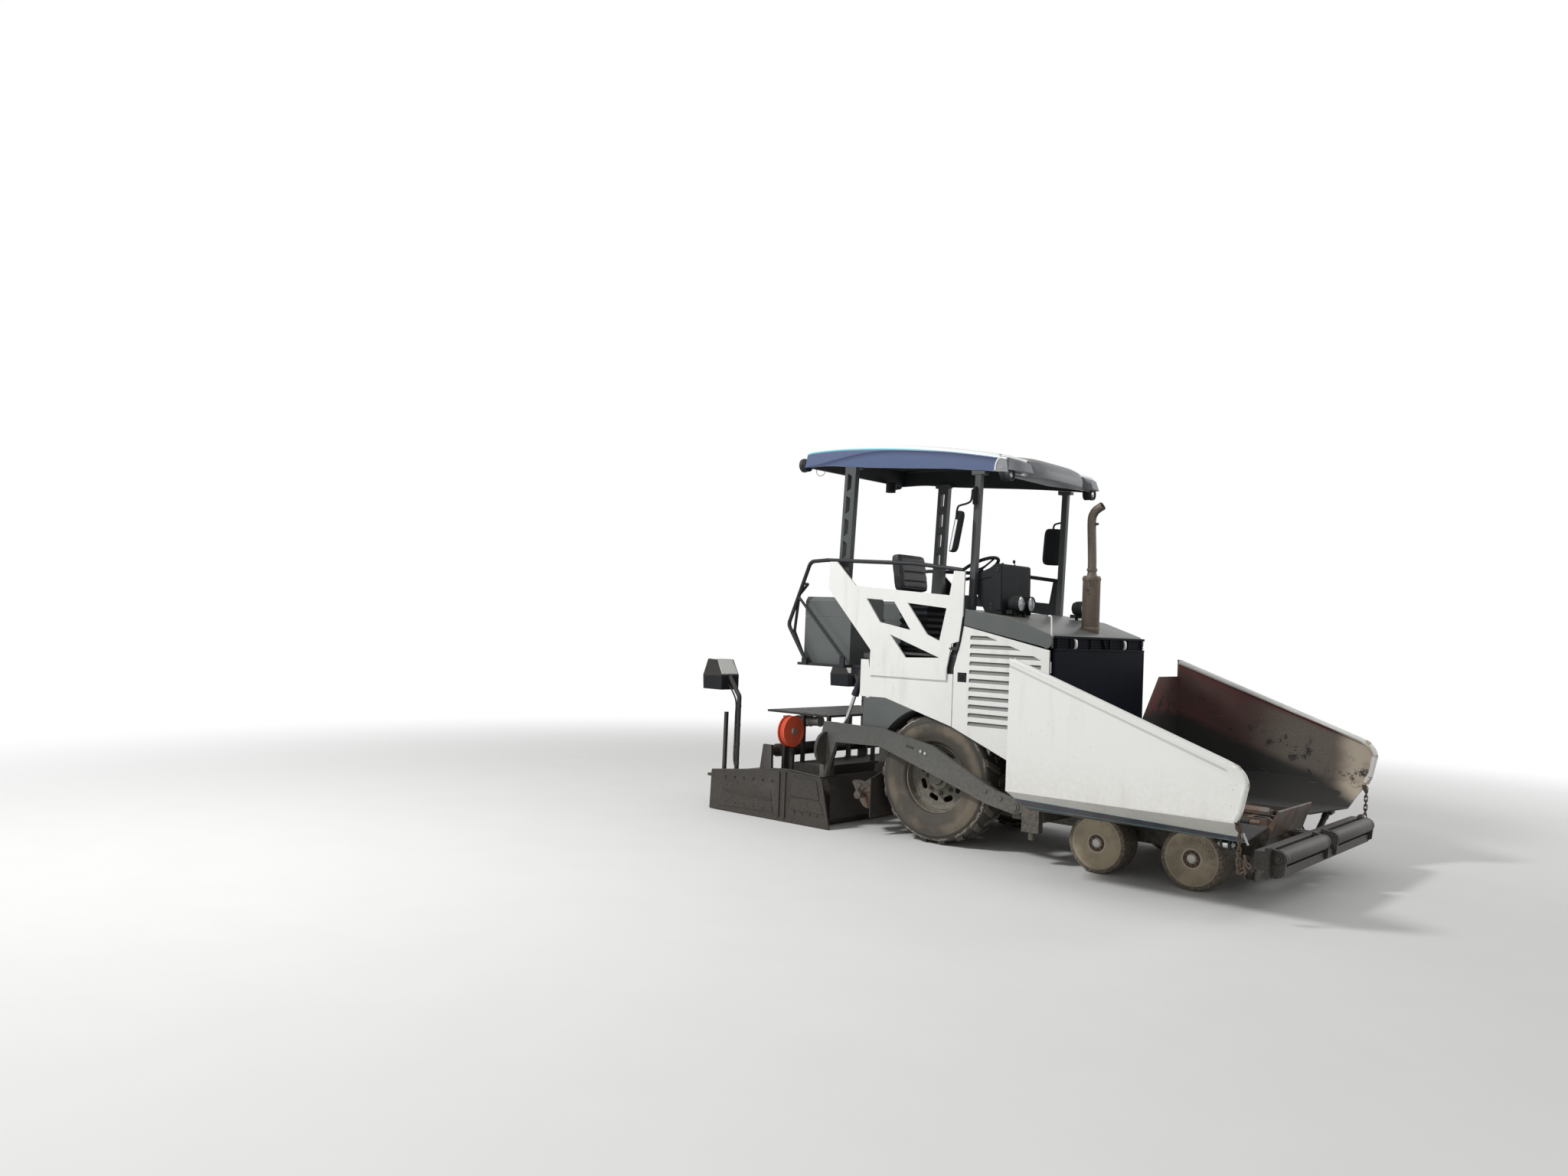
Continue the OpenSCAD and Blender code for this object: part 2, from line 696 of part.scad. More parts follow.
// Hopper
module hopper_base() {
    inner = frame_y - frame_t;
    color("#4a4643") {
        for (s = SIDES) on_side(s) {
            box([slope_x + 1, -hinge_y + 22, 470 + seat], [frame_front - 5, -inner + 10, 482]);
            for (x = HINGES) {
                difference() {
                    union() {
                        rod_x(x, x + 70, -hinge_y, hinge_z, 44);
                        box([x, -hinge_y, 471], [x + 70, -hinge_y + 40, 486]);
                    }
                    rod_x(x - 1, x + 71, -hinge_y, hinge_z, hinge_d - 1);
                }
            }
            rod_x(HINGES[0], HINGES[2] + 70, -hinge_y, hinge_z, hinge_d);
            box([slope_x + 1, -inner - 1, 482 - 1], [frame_front - 5, -inner + 8, 530]);
        }
        plate_yz([[-22, 505], [22, 505], [22, 530], [0, 560], [-22, 530]], slope_x + 1, 2490);
        box([1200, -10, frame_low + 12 + seat], [2490, 10, 506]);
        box([frame_front + seat, -380, 300], [frame_front + 14, 380, 334 - seat]);
        plate_xz([
            [frame_front + seat, 390], [frame_front + 14, 390], [2680, 590], [2668, 596],
            [frame_front + seat, 470]
        ], -380, 380);
    }
}

HINGES = [1180, 1850, 2500];

module conveyors() {
    r = drum_d / 2;
    x0 = auger_x + (auger_d + drum_d) / 2 + 2 * clear;
    x1 = 2470;
    run = x1 - x0;
    count = floor(run / slat_pitch);
    color("#5a5450") for (s = SIDES) on_side(s) {
        for (y = [-60, -30 - conveyor_w + 20]) {
            translate([0, y, drum_z]) rotate([90, 0, 0]) linear_extrude(24) difference() {
                union() {
                    translate([x0, 0]) circle(r = r, $fn = 32);
                    translate([x1, 0]) circle(r = r, $fn = 32);
                    translate([x0, -r]) square([run, 2 * r]);
                }
                translate([x0, 0]) circle(r = r - 26, $fn = 32);
                translate([x1, 0]) circle(r = r - 26, $fn = 32);
                translate([x0, -r + 26]) square([run, 2 * r - 52]);
            }
        }
        for (i = [0:count], side = SIDES)
            translate([x0 + i * slat_pitch, 0, drum_z + side * (r - 12)])
                box([-20, -30 - conveyor_w, -13], [20, -30, 13]);
        for (x = [x0, x1]) {
            rod_y(-frame_y + frame_t + seat, -30, x, drum_z, 60);
            for (y = [-60, -10 - conveyor_w]) rod_y(y - 22, y - 2, x, drum_z, 2 * r - 51);
        }
    }
}

function wing_z(x) = wing_top - (x - wing_rear) * 0.3665;

module wing(s) {
    y = wing_y;
    t = wing_t;
    low = hinge_z - 20;
    fold = 645;
    rim = [
        [wing_rear + 22, wing_z(wing_rear) - 22], [wing_front + 10, wing_z(wing_front) - 20],
        [wing_front + 66, 900], [wing_front + 26, 715], [wing_front, fold + 14]
    ];
    color("white") on_side(s) {
        // floor, folded up towards the side wall
        intersection() {
            plate_yz([
                [-hinge_y - 30, low + t], [-1200, low - 8 + t], [-y + 3, fold + 16], [-y + 3, fold],
                [-1204, low - 8], [-hinge_y - 30, low]
            ], wing_rear, wing_front + 10);
            linear_extrude(2000) polygon([
                [wing_rear, -hinge_y], [wing_rear, -y - 1], [wing_front, -y - 1],
                [frame_front + 30, -hinge_y]
            ]);
        }
        // side wall
        plate_xz([
            [wing_rear, fold], [wing_rear, wing_top], [wing_front, wing_z(wing_front)],
            [wing_front + 78, 905], [wing_front + 32, 715], [wing_front, fold]
        ], -y, -y + t);
        pipe_xz(rim, -y + rim_d / 2 - 4, rim_d, 40);
        // rear wall
        plate_yz([
            [-500, low + 4], [-500, 760], [-760, 1050], [-1130, 1460], [-y + 10, 1460],
            [-y + 10, fold + 10], [-1200, low]
        ], wing_rear, wing_rear + 12);
        // hinge knuckles
        for (i = [0:1]) difference() {
            union() {
                rod_x(HINGES[i] + 70 + clear, HINGES[i + 1] - clear, -hinge_y, hinge_z, 44);
                box([HINGES[i] + 70 + clear, -hinge_y - 50, low], [HINGES[i + 1] - clear, -hinge_y, low + t]);
            }
            rod_x(HINGES[i], HINGES[i + 1] + 70, -hinge_y, hinge_z, hinge_d + 2 * fit);
        }
        // lug of the wing ram
        for (x = [2548, 2600]) plate_yz([
            [-ram_head[0] - 30, low], [-ram_head[0] + 40, low], [-ram_head[0] + 30, ram_head[1] - 26],
            [-ram_head[0] - 26, ram_head[1] - 26]
        ], x, x + 12);
        // head and nut of the ram's pin
        for (x = [2540, 2611]) rod_x(x, x + 9, -ram_head[0], ram_head[1], 40);
    }
}

// Rams: distance out from the middle plane and height of their pins
ram_foot = [640, 150];
ram_head = [1150, 436];
ram_x = 2580;
ram_l = norm(ram_head - ram_foot);
ram_a = atan2(ram_head[1] - ram_foot[1], ram_head[0] - ram_foot[0]);
lift_top = [-750, 1550];
lift_low = [-985, 905];
lift_l = norm(lift_low - lift_top);
lift_a = atan2(lift_top[0] - lift_low[0], lift_top[1] - lift_low[1]);
lift_y = 800;
lift_pin = 30;
lift_play = 4.5;

// Barrel of a ram, drawn along +Z from the pin of its foot, pins along X
module ram_barrel(l, d, bore, rod, pin, eye) {
    difference() {
        union() {
            translate([0, 0, 24]) cylinder(d = d, h = l - 24, $fn = 32);
            rod_x(-eye / 2, eye / 2, 0, 0, 56);
            translate([0, 0, l - 40]) cylinder(d = d + 8, h = 40, $fn = 32);
        }
        translate([0, 0, 60]) cylinder(d = bore, h = l - 84, $fn = 32);
        translate([0, 0, l - 25]) cylinder(d = rod + 2 * fit, h = 30, $fn = 32);
        rod_x(-eye, eye, 0, 0, pin + 2 * fit);
    }
}

// Rod of a ram, from its piston at a distance from the foot to its eye.
// A positive play is the gap round a pin in the eye; at 0 the eye holds the pin's shaft itself.
module ram_rod(start, l, bore, rod, pin, eye, play) {
    difference() {
        union() {
            translate([0, 0, start]) cylinder(d = bore - 2 * fit, h = 24, $fn = 32);
            translate([0, 0, start]) cylinder(d = rod, h = l - start, $fn = 32);
            translate([0, 0, l]) rod_x(-eye / 2, eye / 2, 0, 0, 56);
            if (play == 0) translate([0, 0, l]) rod_x(-eye / 2 - 1, eye / 2 + 1, 0, 0, pin);
        }
        if (play > 0) translate([0, 0, l]) rod_x(-eye, eye, 0, 0, pin + 2 * play);
    }
}

module wing_barrel(s) {
    color("#2c2c2c") on_side(s) translate([ram_x, -ram_foot[0], ram_foot[1]]) rotate([90 - ram_a, 0, 0])
        ram_barrel(540, 48, 36, 26, 28, 40);
}

module wing_rod(s) {
    color("silver") on_side(s) translate([ram_x, -ram_foot[0], ram_foot[1]]) rotate([90 - ram_a, 0, 0])
        ram_rod(150, ram_l, 36, 26, 28, 34, 0);
}

module lift_barrel(s) {
    color("#2c2c2c") on_side(s) translate([lift_top[0], -lift_y, lift_top[1]]) rotate([0, 180 + lift_a, 0])
        rotate([0, 0, 90]) ram_barrel(385, 60, 46, 34, lift_pin, 36);
}

module lift_rod(s) {
    color("silver") on_side(s) translate([lift_top[0], -lift_y, lift_top[1]]) rotate([0, 180 + lift_a, 0])
        rotate([0, 0, 90]) ram_rod(330, lift_l, 46, 34, lift_pin, 40, lift_play);
}

// Push beam and rollers
module push_beam() {
    color("#3a3836") {
        difference() {
            union() {
                box([2765, -1150, 300], [2835, 1150, 425]);
                for (z = [[298, 328], [392, 422]]) box([2650, -75, z[0]], [2770, 75, z[1]]);
            }
            rod_z(290, 430, 2700, 0, swivel_d + 2 * fit);
        }
        for (s = SIDES) on_side(s) for (y = [-roller_end - 30, -120]) difference() {
            union() {
                plate_xz([
                    [2830, 250], [2830, 446], [roller_x, roller_z + 50], [roller_x + 50, roller_z],
                    [roller_x + 38, 272], [roller_x - 10, 245]
                ], y, y + 25);
                rod_y(y, y + 25, roller_x, roller_z, 108);
            }
            rod_y(y - 1, y + 26, roller_x, roller_z, 40 + 2 * fit);
        }
        // lower beam under the rollers
        box([2834, -roller_end - 20, 250], [2915, roller_end + 20, 312]);
        for (s = SIDES) on_side(s) box([2834, -1150, 240], [2860, -1084, 450]);
    }
}

module push_roller(s) {
    color("#4a4846") on_side(s) {
        rod_y(-roller_end, -130, roller_x, roller_z, roller_d);
        rod_y(-roller_end - 30, -95, roller_x, roller_z, 40);
    }
}

// Front bogies
module front_axle() {
    xs = [bogie_x - bogie_base / 2, bogie_x + bogie_base / 2];
    color("#37393b") for (s = SIDES) on_side(s) {
        plate_xz([
            [xs[0] - 60, 105], [xs[0] + 60, 105], [xs[0] + 120, 230], [xs[1] - 120, 230],
            [xs[1] - 60, 105], [xs[1] + 60, 105], [xs[1] + 60, 352], [xs[0] - 60, 352]
        ], -446, -412);
        rod_y(-420, -frame_y - seat, bogie_x, 300, 120);
        for (x = xs) {
            for (z = [105, 332]) box([x - 38, -kingpin_y - 34, z], [x + 38, -440, z + 20]);
            rod_z(105, 352, x, -kingpin_y, kingpin_d);
        }
    }
}

module knuckle(x, s) {
    color("#45474a") on_side(s) difference() {
        union() {
            rod_z(125 + seat, 332 - seat, x, -kingpin_y, 64);
            rod_y(-front_y - 40, -kingpin_y, x, front_r, stub_d);
        }
        rod_z(100, 340, x, -kingpin_y, kingpin_d + 2 * fit);
    }
}

module front_wheel(x, s) {
    half = front_w / 2;
    bore = stub_d / 2 + fit;
    color("#57534e") translate([x, s * front_y, front_r]) rotate([s > 0 ? -90 : 90, 0, 0]) {
        rotate_extrude($fn = 64) polygon([
            [bore, -half + 14], [front_r * 0.5, -half + 14], [front_r * 0.62, -half], [front_r - 14, -half],
            [front_r, -half + 14], [front_r, half - 14], [front_r - 14, half], [front_r * 0.66, half],
            [front_r * 0.60, half - 14], [front_r * 0.42, half - 20], [front_r * 0.38, half - 6],
            [front_r * 0.2, half - 6], [front_r * 0.16, half + 0], [0, half + 0], [0, 45], [bore, 45]
        ]);
        for (i = [0:7]) rotate([0, 0, i * 45]) translate([64, 0, half - 8]) cylinder(d = 20, h = 14, $fn = 6);
    }
}

// Augers
module auger_frame() {
    color("#4c443d") {
        box([auger_x - 80, -42, 250], [auger_x + 80, 42, tunnel_top - seat]);
        rod_y(-72, 72, auger_x, auger_z, auger_stub);
        for (s = SIDES) on_side(s) {
            x = -tyre_r - 19;
            box([x - 8, -935, 150], [x, -frame_y - 1, 500]);
            plate_yz([
                [-frame_y - seat, 480], [-frame_y - seat, 640], [-430, 640], [-900, 500], [-900, 480]
            ], x - 11, x + 5);
            box([x - 291, -430, 500], [x + 9, -frame_y - seat, 520]);
            plate_xz([[x - 331, 480], [x - 311, 560], [x - 11, 640], [x, 480]], -445, -430);
        }
    }
}

module auger(s) {
    y0 = 60;
    flight = auger_end - y0 - 10;
    half = 10;
    r = auger_d / 2;
    color("#77726c") translate([auger_x, s * y0, auger_z]) rotate([s > 0 ? -90 : 90, 0, 0]) difference() {
      union() {
        cylinder(d = 70, h = auger_end - y0, $fn = 32);
        linear_extrude(
            height = flight, twist = s * 360 * flight / auger_pitch, slices = 44, segments = 5
        ) polygon([
            [30 * cos(half), 30 * sin(half)], [r * cos(half), r * sin(half)], [r, 0],
            [r * cos(half), -r * sin(half)], [30 * cos(half), -30 * sin(half)]
        ]);
        translate([0, 0, -15]) cylinder(d = 60, h = 16, $fn = 32);
      }
        translate([0, 0, -16]) cylinder(d = auger_stub + 2 * fit, h = 30, $fn = 32);
    }
}

// Screed
module tow_arms() {
    color("#4d5053") for (s = SIDES) on_side(s) {
        difference() {
            plate_xz([
                [-1096, 939], [-475, 928], [39, 831], [566, 572], [666, 533], [tow_x, 494],
                [895, 460], [895, 395], [tow_x, 370], [572, 418], [388, 481], [-171, 664],
                [-514, 775], [-990, 765], [-1061, 740]
            ], -arm_y - arm_t, -arm_y);
            rod_y(-arm_y - arm_t - 1, -arm_y + 1, tow_x, tow_z, tow_d + 2 * fit);
        }
        rod_y(-arm_y - 1, -lift_y + 22, lift_low[0], lift_low[1], lift_pin);
        plate_xz([
            [-1131, 939], [-990, 939], [-990, 760], [-1104, 436], [-1165, 436], [-1165, 800]
        ], -arm_y - arm_t, -arm_y);
        box([-1165, -arm_y, 440], [-1105, -780, 640]);
        rod_x(-1125, -1095, -arm_y + 30 - 60, 700, 300);
    }
}

module screed() {
    color("#3d3b39") {
        difference() {
            plate_xz([
                [-1600, screed_z], [-1090, screed_z], [-1040, screed_z + 60], [-1040, 330],
                [-1100, 436 - seat],
                [-1600, 436 - seat]
            ], -screed_y, screed_y);
            plate_xz([
                [-1585, screed_z + 30], [-1100, screed_z + 30], [-1058, screed_z + 75],
                [-1058, 325], [-1110, 420],
                [-1585, 420]
            ], -screed_y + 15, screed_y - 15);
        }
        box([-1560, -screed_y + 60, 430], [-1180, screed_y - 60, 520]);
        // guide sleeve of the extensions
        difference() {
            rod_y(-screed_y, screed_y, -1700, 620, guide_d + 30);
            rod_y(-screed_y - 1, screed_y + 1, -1700, 620, guide_d + 2 * fit);
        }
        for (y = [-840, -300, 300, 840]) box([-1645, y - 15, 430], [-1540, y + 15, 640]);
        // walkway
        box([-1990, -720, 955], [-1230, 720, 975]);
        for (y = [-700, 0, 700]) {
            box([-1260, y - 20, 519], [-1235, y + 20, 956]);
            box([-1560, y - 20, 519], [-1535, y + 20, 956]);
        }
        // post of the hose reel
        box([-1630, reel_y - 25, 430], [-1598, reel_y + 35, 950]);
        rod_x(-1599, -1500, reel_y, reel_z, 30);
    }
}

module hose_reel() {
    color("#c8432c") translate([-1550, reel_y, reel_z]) rotate([0, 90, 0]) difference() {
        union() {
            for (z = [-40, 30]) translate([0, 0, z]) cylinder(d = 290, h = 8, $fn = 48);
            translate([0, 0, -36]) cylinder(d = 220, h = 70, $fn = 48);
        }
        translate([0, 0, -60]) cylinder(d = 30 + 2 * fit, h = 120, $fn = 32);
    }
}

module extension(s) {
    color("#383634") on_side(s) {
        difference() {
            plate_xz([
                [-2320, screed_z], [-1680, screed_z], [-1640, screed_z + 50], [-1640, 360],
                [-1690, 430], [-2320, 330]
            ], -gate_y + 40, -60);
            plate_xz([
                [-2305, screed_z + 25], [-1690, screed_z + 25], [-1655, screed_z + 65],
                [-1655, 352], [-1697, 414],
                [-2305, 314]
            ], -gate_y + 55, -75);
        }
        // end gate
        plate_xz([
            [-925, screed_z], [-1030, 445], [-1475, 471], [-2390, 367], [-2400, screed_z]
        ], -gate_y, -gate_y + 15);
        for (panel = [
            [[-2285, 50], [-2240, 190], [-1600, 150], [-1590, 75]],
            [[-2235, 208], [-2215, 305], [-1625, 270], [-1605, 168]],
            [[-1375, 250], [-1370, 425], [-1085, 412], [-1045, 250]],
            [[-1375, 130], [-1375, 235], [-1040, 235], [-990, 130]]
        ]) plate_xz(panel, -gate_y - panel_out, -gate_y + 1);
        for (x = [-1535, -1465]) box([x, -gate_y - 2 * panel_out, 40], [x + 24, -gate_y + 1, 455]);
        for (x = [-2370, -1480, -1090]) box([x, -gate_y + 14, screed_z + 20], [x + 30, -gate_y + 41, 360]);
        // guide tube and its bracket
        rod_y(-gate_y + 40, -75, -1700, 620, guide_d);
        plate_xz([[-1790, 400], [-1640, 400], [-1650, 680], [-1750, 680]], -gate_y + 15, -gate_y + 45);
        // rear step
        box([step_rear, -gate_y + 60, 300], [-2300, -120, 325]);
        // posts and control box
        pipe_xz([[-2120, 340], [-2120, 1095], [-2270, 1290]], -gate_y + 60, 44, 60);
        box([-2300, -gate_y + 50, 320], [-2270, -gate_y + 80, 935]);
        plate_xz([
            [-2250, 1150], [-2250, 1290], [-2330, 1436], [-2440, 1440], [-2500, 1280],
            [-2490, 1150]
        ], -gate_y - 60, -gate_y + 180);
    }
}

placed() chassis();
placed() engine_block();
placed() fenders();
placed() side_panels();
placed() deck_panels();
placed() hood();
placed() front_wall();
placed() deck();
placed() platform();
placed() cabinets();
placed() handrails();
placed() seat();
placed() console();
placed() steering_wheel();
placed() exhaust();
placed() canopy();
placed() posts();
placed() mirrors();
placed() canopy_lamps();
placed() hood_lamps();
placed() hopper_base();
placed() conveyors();
placed() front_axle();
placed() auger_frame();
placed() engine_door(-1);  // door_right
placed() engine_door(1);  // door_left
placed() lid(-1);  // lid_right
placed() lid(1);  // lid_left
placed() rear_tyre(-1);  // rear_tyre_right
placed() rear_tyre(1);  // rear_tyre_left
placed() rear_rim(-1);  // rear_rim_right
placed() rear_rim(1);  // rear_rim_left
placed() knuckle(BOGIES[0], -1);  // knuckle_front_right
placed() knuckle(BOGIES[0], 1);  // knuckle_front_left
placed() knuckle(BOGIES[1], -1);  // knuckle_rear_right
placed() knuckle(BOGIES[1], 1);  // knuckle_rear_left
placed() front_wheel(BOGIES[0], -1);  // wheel_front_right
placed() front_wheel(BOGIES[0], 1);  // wheel_front_left
placed() front_wheel(BOGIES[1], -1);  // wheel_rear_right
placed() front_wheel(BOGIES[1], 1);  // wheel_rear_left
placed() auger(-1);  // auger_right
placed() auger(1);  // auger_left
placed() wing(-1);  // wing_right
placed() wing(1);  // wing_left
placed() wing_barrel(-1);  // wing_barrel_right
placed() wing_barrel(1);  // wing_barrel_left
placed() wing_rod(-1);  // wing_rod_right
placed() wing_rod(1);  // wing_rod_left
placed() push_beam();
placed() push_roller(-1);  // roller_right
placed() push_roller(1);  // roller_left
placed() tow_arms();
placed() screed();
placed() extension(-1);  // extension_right
placed() extension(1);  // extension_left
placed() lift_barrel(-1);  // lift_barrel_right
placed() lift_barrel(1);  // lift_barrel_left
placed() lift_rod(-1);  // lift_rod_right
placed() lift_rod(1);  // lift_rod_left
placed() hose_reel();
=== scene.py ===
# %% [markdown]
# # A wheeled asphalt paver
# The solids of this machine come from its CAD model. This notebook dresses them: it gives each one a
# finish that looks like worn paint, rubber or steel, and it puts detailed pieces where a plain solid
# isn't enough, such as the tyres, the canopy and the seat.

# %% Load the CAD model as a fixed frame
import math

import bmesh
import bpy
from mathutils import Matrix, Vector


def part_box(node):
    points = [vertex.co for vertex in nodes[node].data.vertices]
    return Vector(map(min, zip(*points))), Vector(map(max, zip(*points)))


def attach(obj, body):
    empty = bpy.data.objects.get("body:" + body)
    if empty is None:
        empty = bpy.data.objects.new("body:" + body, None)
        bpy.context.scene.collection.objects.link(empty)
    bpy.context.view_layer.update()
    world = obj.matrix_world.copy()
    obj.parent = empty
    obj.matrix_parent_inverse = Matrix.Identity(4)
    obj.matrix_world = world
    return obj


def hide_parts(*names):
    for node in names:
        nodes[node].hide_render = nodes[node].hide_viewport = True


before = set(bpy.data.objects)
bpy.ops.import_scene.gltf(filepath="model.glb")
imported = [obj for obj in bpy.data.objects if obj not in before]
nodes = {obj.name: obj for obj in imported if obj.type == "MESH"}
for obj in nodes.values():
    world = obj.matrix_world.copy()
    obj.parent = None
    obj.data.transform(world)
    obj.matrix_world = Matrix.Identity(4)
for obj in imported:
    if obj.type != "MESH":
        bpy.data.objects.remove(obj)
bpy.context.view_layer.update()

# %% [markdown]
# ## The camera
# The source measures along the machine from the rear axle, while the model's origin is in the middle of
# its length. Every piece below is drawn from the rear axle and moved once, so that its numbers are those
# of the source. The camera stands to the right of the machine, a little above a person's eyes, and the
# three angles give its axes one after the other.

# %% Camera
AXLE = 0.2275                       # the rear axle lies this far behind the origin
PHOTO_WIDTH, FOCAL = 2048, 1504.5   # both in pixels of the source
SENSOR = 36
heading, pitch, roll = 2.28475, 0.031176, 0.040526
look = Vector((math.cos(heading) * math.cos(pitch), math.sin(heading) * math.cos(pitch), math.sin(pitch)))
level = Vector((math.sin(heading), -math.cos(heading), 0))
upright = level.cross(look)
right = level * math.cos(roll) + upright * math.sin(roll)
up = upright * math.cos(roll) - level * math.sin(roll)

camera = bpy.data.objects.new("camera", bpy.data.cameras.new("camera"))
bpy.context.scene.collection.objects.link(camera)
turned = Matrix((right, up, -look)).transposed().to_4x4()
camera.matrix_world = Matrix.Translation((5.4014 - AXLE, -9.0842, 1.8029)) @ turned
camera.data.sensor_width = SENSOR
camera.data.lens = FOCAL / PHOTO_WIDTH * SENSOR
bpy.context.scene.camera = camera
print("lens", round(camera.data.lens, 2), "mm")

# %% [markdown]
# ## A small language for finishes
# A finish is a graph of nodes. Written node by node it is long, so `Wire` wraps one socket, and sums and
# products of wires add the Math nodes by themselves. `Finish` holds one material and makes its nodes.

# %% Wires and finishes
class Wire:
    """One value of a material; arithmetic on it adds Math nodes."""

    def __init__(self, finish, socket):
        self.finish, self.socket = finish, socket

    def math(self, operation, *others):
        return self.finish.node("ShaderNodeMath", {"operation": operation}, dict(enumerate((self, *others))))

    def __add__(self, other):
        return self.math("ADD", other)

    def __mul__(self, other):
        return self.math("MULTIPLY", other)

    def __sub__(self, other):
        return self.math("SUBTRACT", other)

    def __rsub__(self, other):
        return self.finish.node("ShaderNodeMath", {"operation": "SUBTRACT"}, {0: other, 1: self})

    __radd__, __rmul__ = __add__, __mul__

    def ramp(self, low, high):
        """0 below low, 1 above high, smooth between; low may be the larger."""
        settings = {"interpolation_type": "SMOOTHSTEP"}
        return self.finish.node("ShaderNodeMapRange", settings, {0: self, 1: low, 2: high, 3: 0.0, 4: 1.0})

    def band(self, rise, full, fall, end):
        """1 from full to fall, and 0 before rise and after end."""
        return self.ramp(rise, full) * self.ramp(end, fall)

    def at_most_one(self):
        return self.math("MINIMUM", 1.0)


class Finish:
    """One material, its shader and the coordinates of the piece it is on."""

    def __init__(self, name, **constants):
        self.material = bpy.data.materials.new(name)
        self.material.use_nodes = True
        self.tree = self.material.node_tree
        self.shader = self.tree.nodes["Principled BSDF"]
        for key, value in constants.items():
            self.shader.inputs[key.replace("_", " ")].default_value = value
        self.place = self.node("ShaderNodeTexCoord", {}, {}, "Object")
        self.x, self.y, self.z = (self.part(self.place, axis) for axis in "XYZ")

    def node(self, kind, settings, inputs, output=0):
        made = self.tree.nodes.new(kind)
        for key, value in settings.items():
            setattr(made, key, value)
        for key, value in inputs.items():
            if isinstance(value, Wire):
                self.tree.links.new(value.socket, made.inputs[key])
            else:
                made.inputs[key].default_value = value
        return Wire(self, made.outputs[output])

    def part(self, vector, axis):
        return self.node("ShaderNodeSeparateXYZ", {}, {0: vector}, axis)

    def noise(self, scale, detail=3.0, stretch=None, rough=0.55):
        place = self.place
        if stretch:
            place = self.node("ShaderNodeMapping", {}, {"Vector": place, "Scale": stretch})
        inputs = {"Vector": place, "Scale": scale, "Detail": detail, "Roughness": rough}
        return self.node("ShaderNodeTexNoise", {}, inputs, "Fac")

    def cells(self, scale):
        return self.node("ShaderNodeTexVoronoi", {}, {"Vector": self.place, "Scale": scale}, "Distance")

    def up(self):
        """How far the surface faces upwards."""
        return self.part(self.node("ShaderNodeNewGeometry", {}, {}, "Normal"), "Z")

    def distance(self, x, z):
        """The distance from a line across the machine, through x and z."""
        across, above = self.x + (AXLE - x), self.z - z
        return (across * across + above * above).math("SQRT")

    def mix(self, factor, a, b):
        a, b = (colour if isinstance(colour, Wire) else (*colour, 1) for colour in (a, b))
        return self.node("ShaderNodeMix", {"data_type": "RGBA"}, {0: factor, 6: a, 7: b}, 2)

    def set(self, **inputs):
        for key, value in inputs.items():
            self.tree.links.new(value.socket, self.shader.inputs[key.replace("_", " ")])
        return self

    def bump(self, height, strength, distance=0.002):
        inputs = {"Height": height, "Strength": strength, "Distance": distance}
        return self.set(Normal=self.node("ShaderNodeBump", {}, inputs))


# %% [markdown]
# ## Painted steel that works outdoors
# The machine's paint is dusty near the ground and on top faces, has vertical runs of dirt, small dark
# specks of bitumen and fine scratches. All painted pieces share this one recipe, with their own colour
# and their own amount of each fault, so that they belong to one machine.

# %% Painted finishes
SAND = (0.42, 0.35, 0.26)
TAR = (0.012, 0.011, 0.01)
EARTH = (0.11, 0.095, 0.075)


def soil(finish, colour, dust=0.5, specks=0.5, runs=0.3, tone=0.08):
    """Gives the colour of a surface its tone changes, runs, specks and dust; returns it with the dust."""
    wide = finish.noise(1.7, 4)
    fine = finish.noise(34, 5, rough=0.7)
    if not isinstance(colour, Wire):
        colour = finish.mix(wide.ramp(0.35, 0.75), colour, [c * (1 - 3 * tone) for c in colour])
    streaks = finish.noise(9, 4, (1, 1, 0.12)).ramp(0.52, 0.78) * runs * 0.5
    colour = finish.mix(streaks, colour, EARTH)
    spots = finish.cells(23).ramp(0.12, 0.02) * finish.noise(2.3, 2).ramp(0.5, 0.66) * specks
    colour = finish.mix(spots, colour, TAR)
    low = finish.z.ramp(1.15, 0.12) * fine.ramp(0.3, 0.68)
    top = finish.up().ramp(0.55, 0.98) * wide.ramp(0.36, 0.66) * 0.55
    layer = ((low + top) * dust).at_most_one()
    return finish.mix(layer, colour, SAND), layer, fine


def painted(name, colour, roughness=0.35, coat=0.25, grain=0.04, gloss=0.5, **faults):
    finish = Finish(name, Metallic=0.0, Coat_Weight=coat, Coat_Roughness=0.2, Specular_IOR_Level=gloss)
    shade, layer, fine = soil(finish, colour, **faults)
    finish.set(Base_Color=shade, Roughness=(layer * 0.5 + fine * 0.12 + roughness - 0.06).at_most_one())
    return finish.bump(finish.noise(5, 2) * 0.7 + finish.noise(420, 2) * 0.3, grain, 0.004)


white = painted("body white", (0.83, 0.83, 0.8), 0.34, 0.35, 0.05, dust=0.42, specks=0.75, tone=0.02)
frame_grey = painted("frame grey", (0.048, 0.048, 0.046), 0.5, 0.05, 0.1, dust=0.3, specks=0.3, runs=0.4)
hood_grey = painted("hood grey", (0.098, 0.11, 0.108), 0.42, 0.15, 0.05, dust=0.24, specks=0.3)
black = painted("black paint", (0.026, 0.028, 0.031), 0.46, 0.0, 0.05, 0.25, dust=0.25, specks=0.1, runs=0.2)
post_grey = painted("post grey", (0.072, 0.078, 0.08), 0.46, 0.05, 0.05, 0.3, dust=0.2, specks=0.2)
wall_black = painted("front wall black", (0.006, 0.0075, 0.012), 0.5, 0.0, 0.05, 0.03,
                     dust=0.03, specks=0.0, runs=0.05)
# painted shade: the blades are white sheet, and this grey stands for the shadow of the bar above them
painted_shade_grey = painted("shaded blades", (0.21, 0.21, 0.205), 0.6, 0.0, 0.2, dust=0.3, specks=0.1)
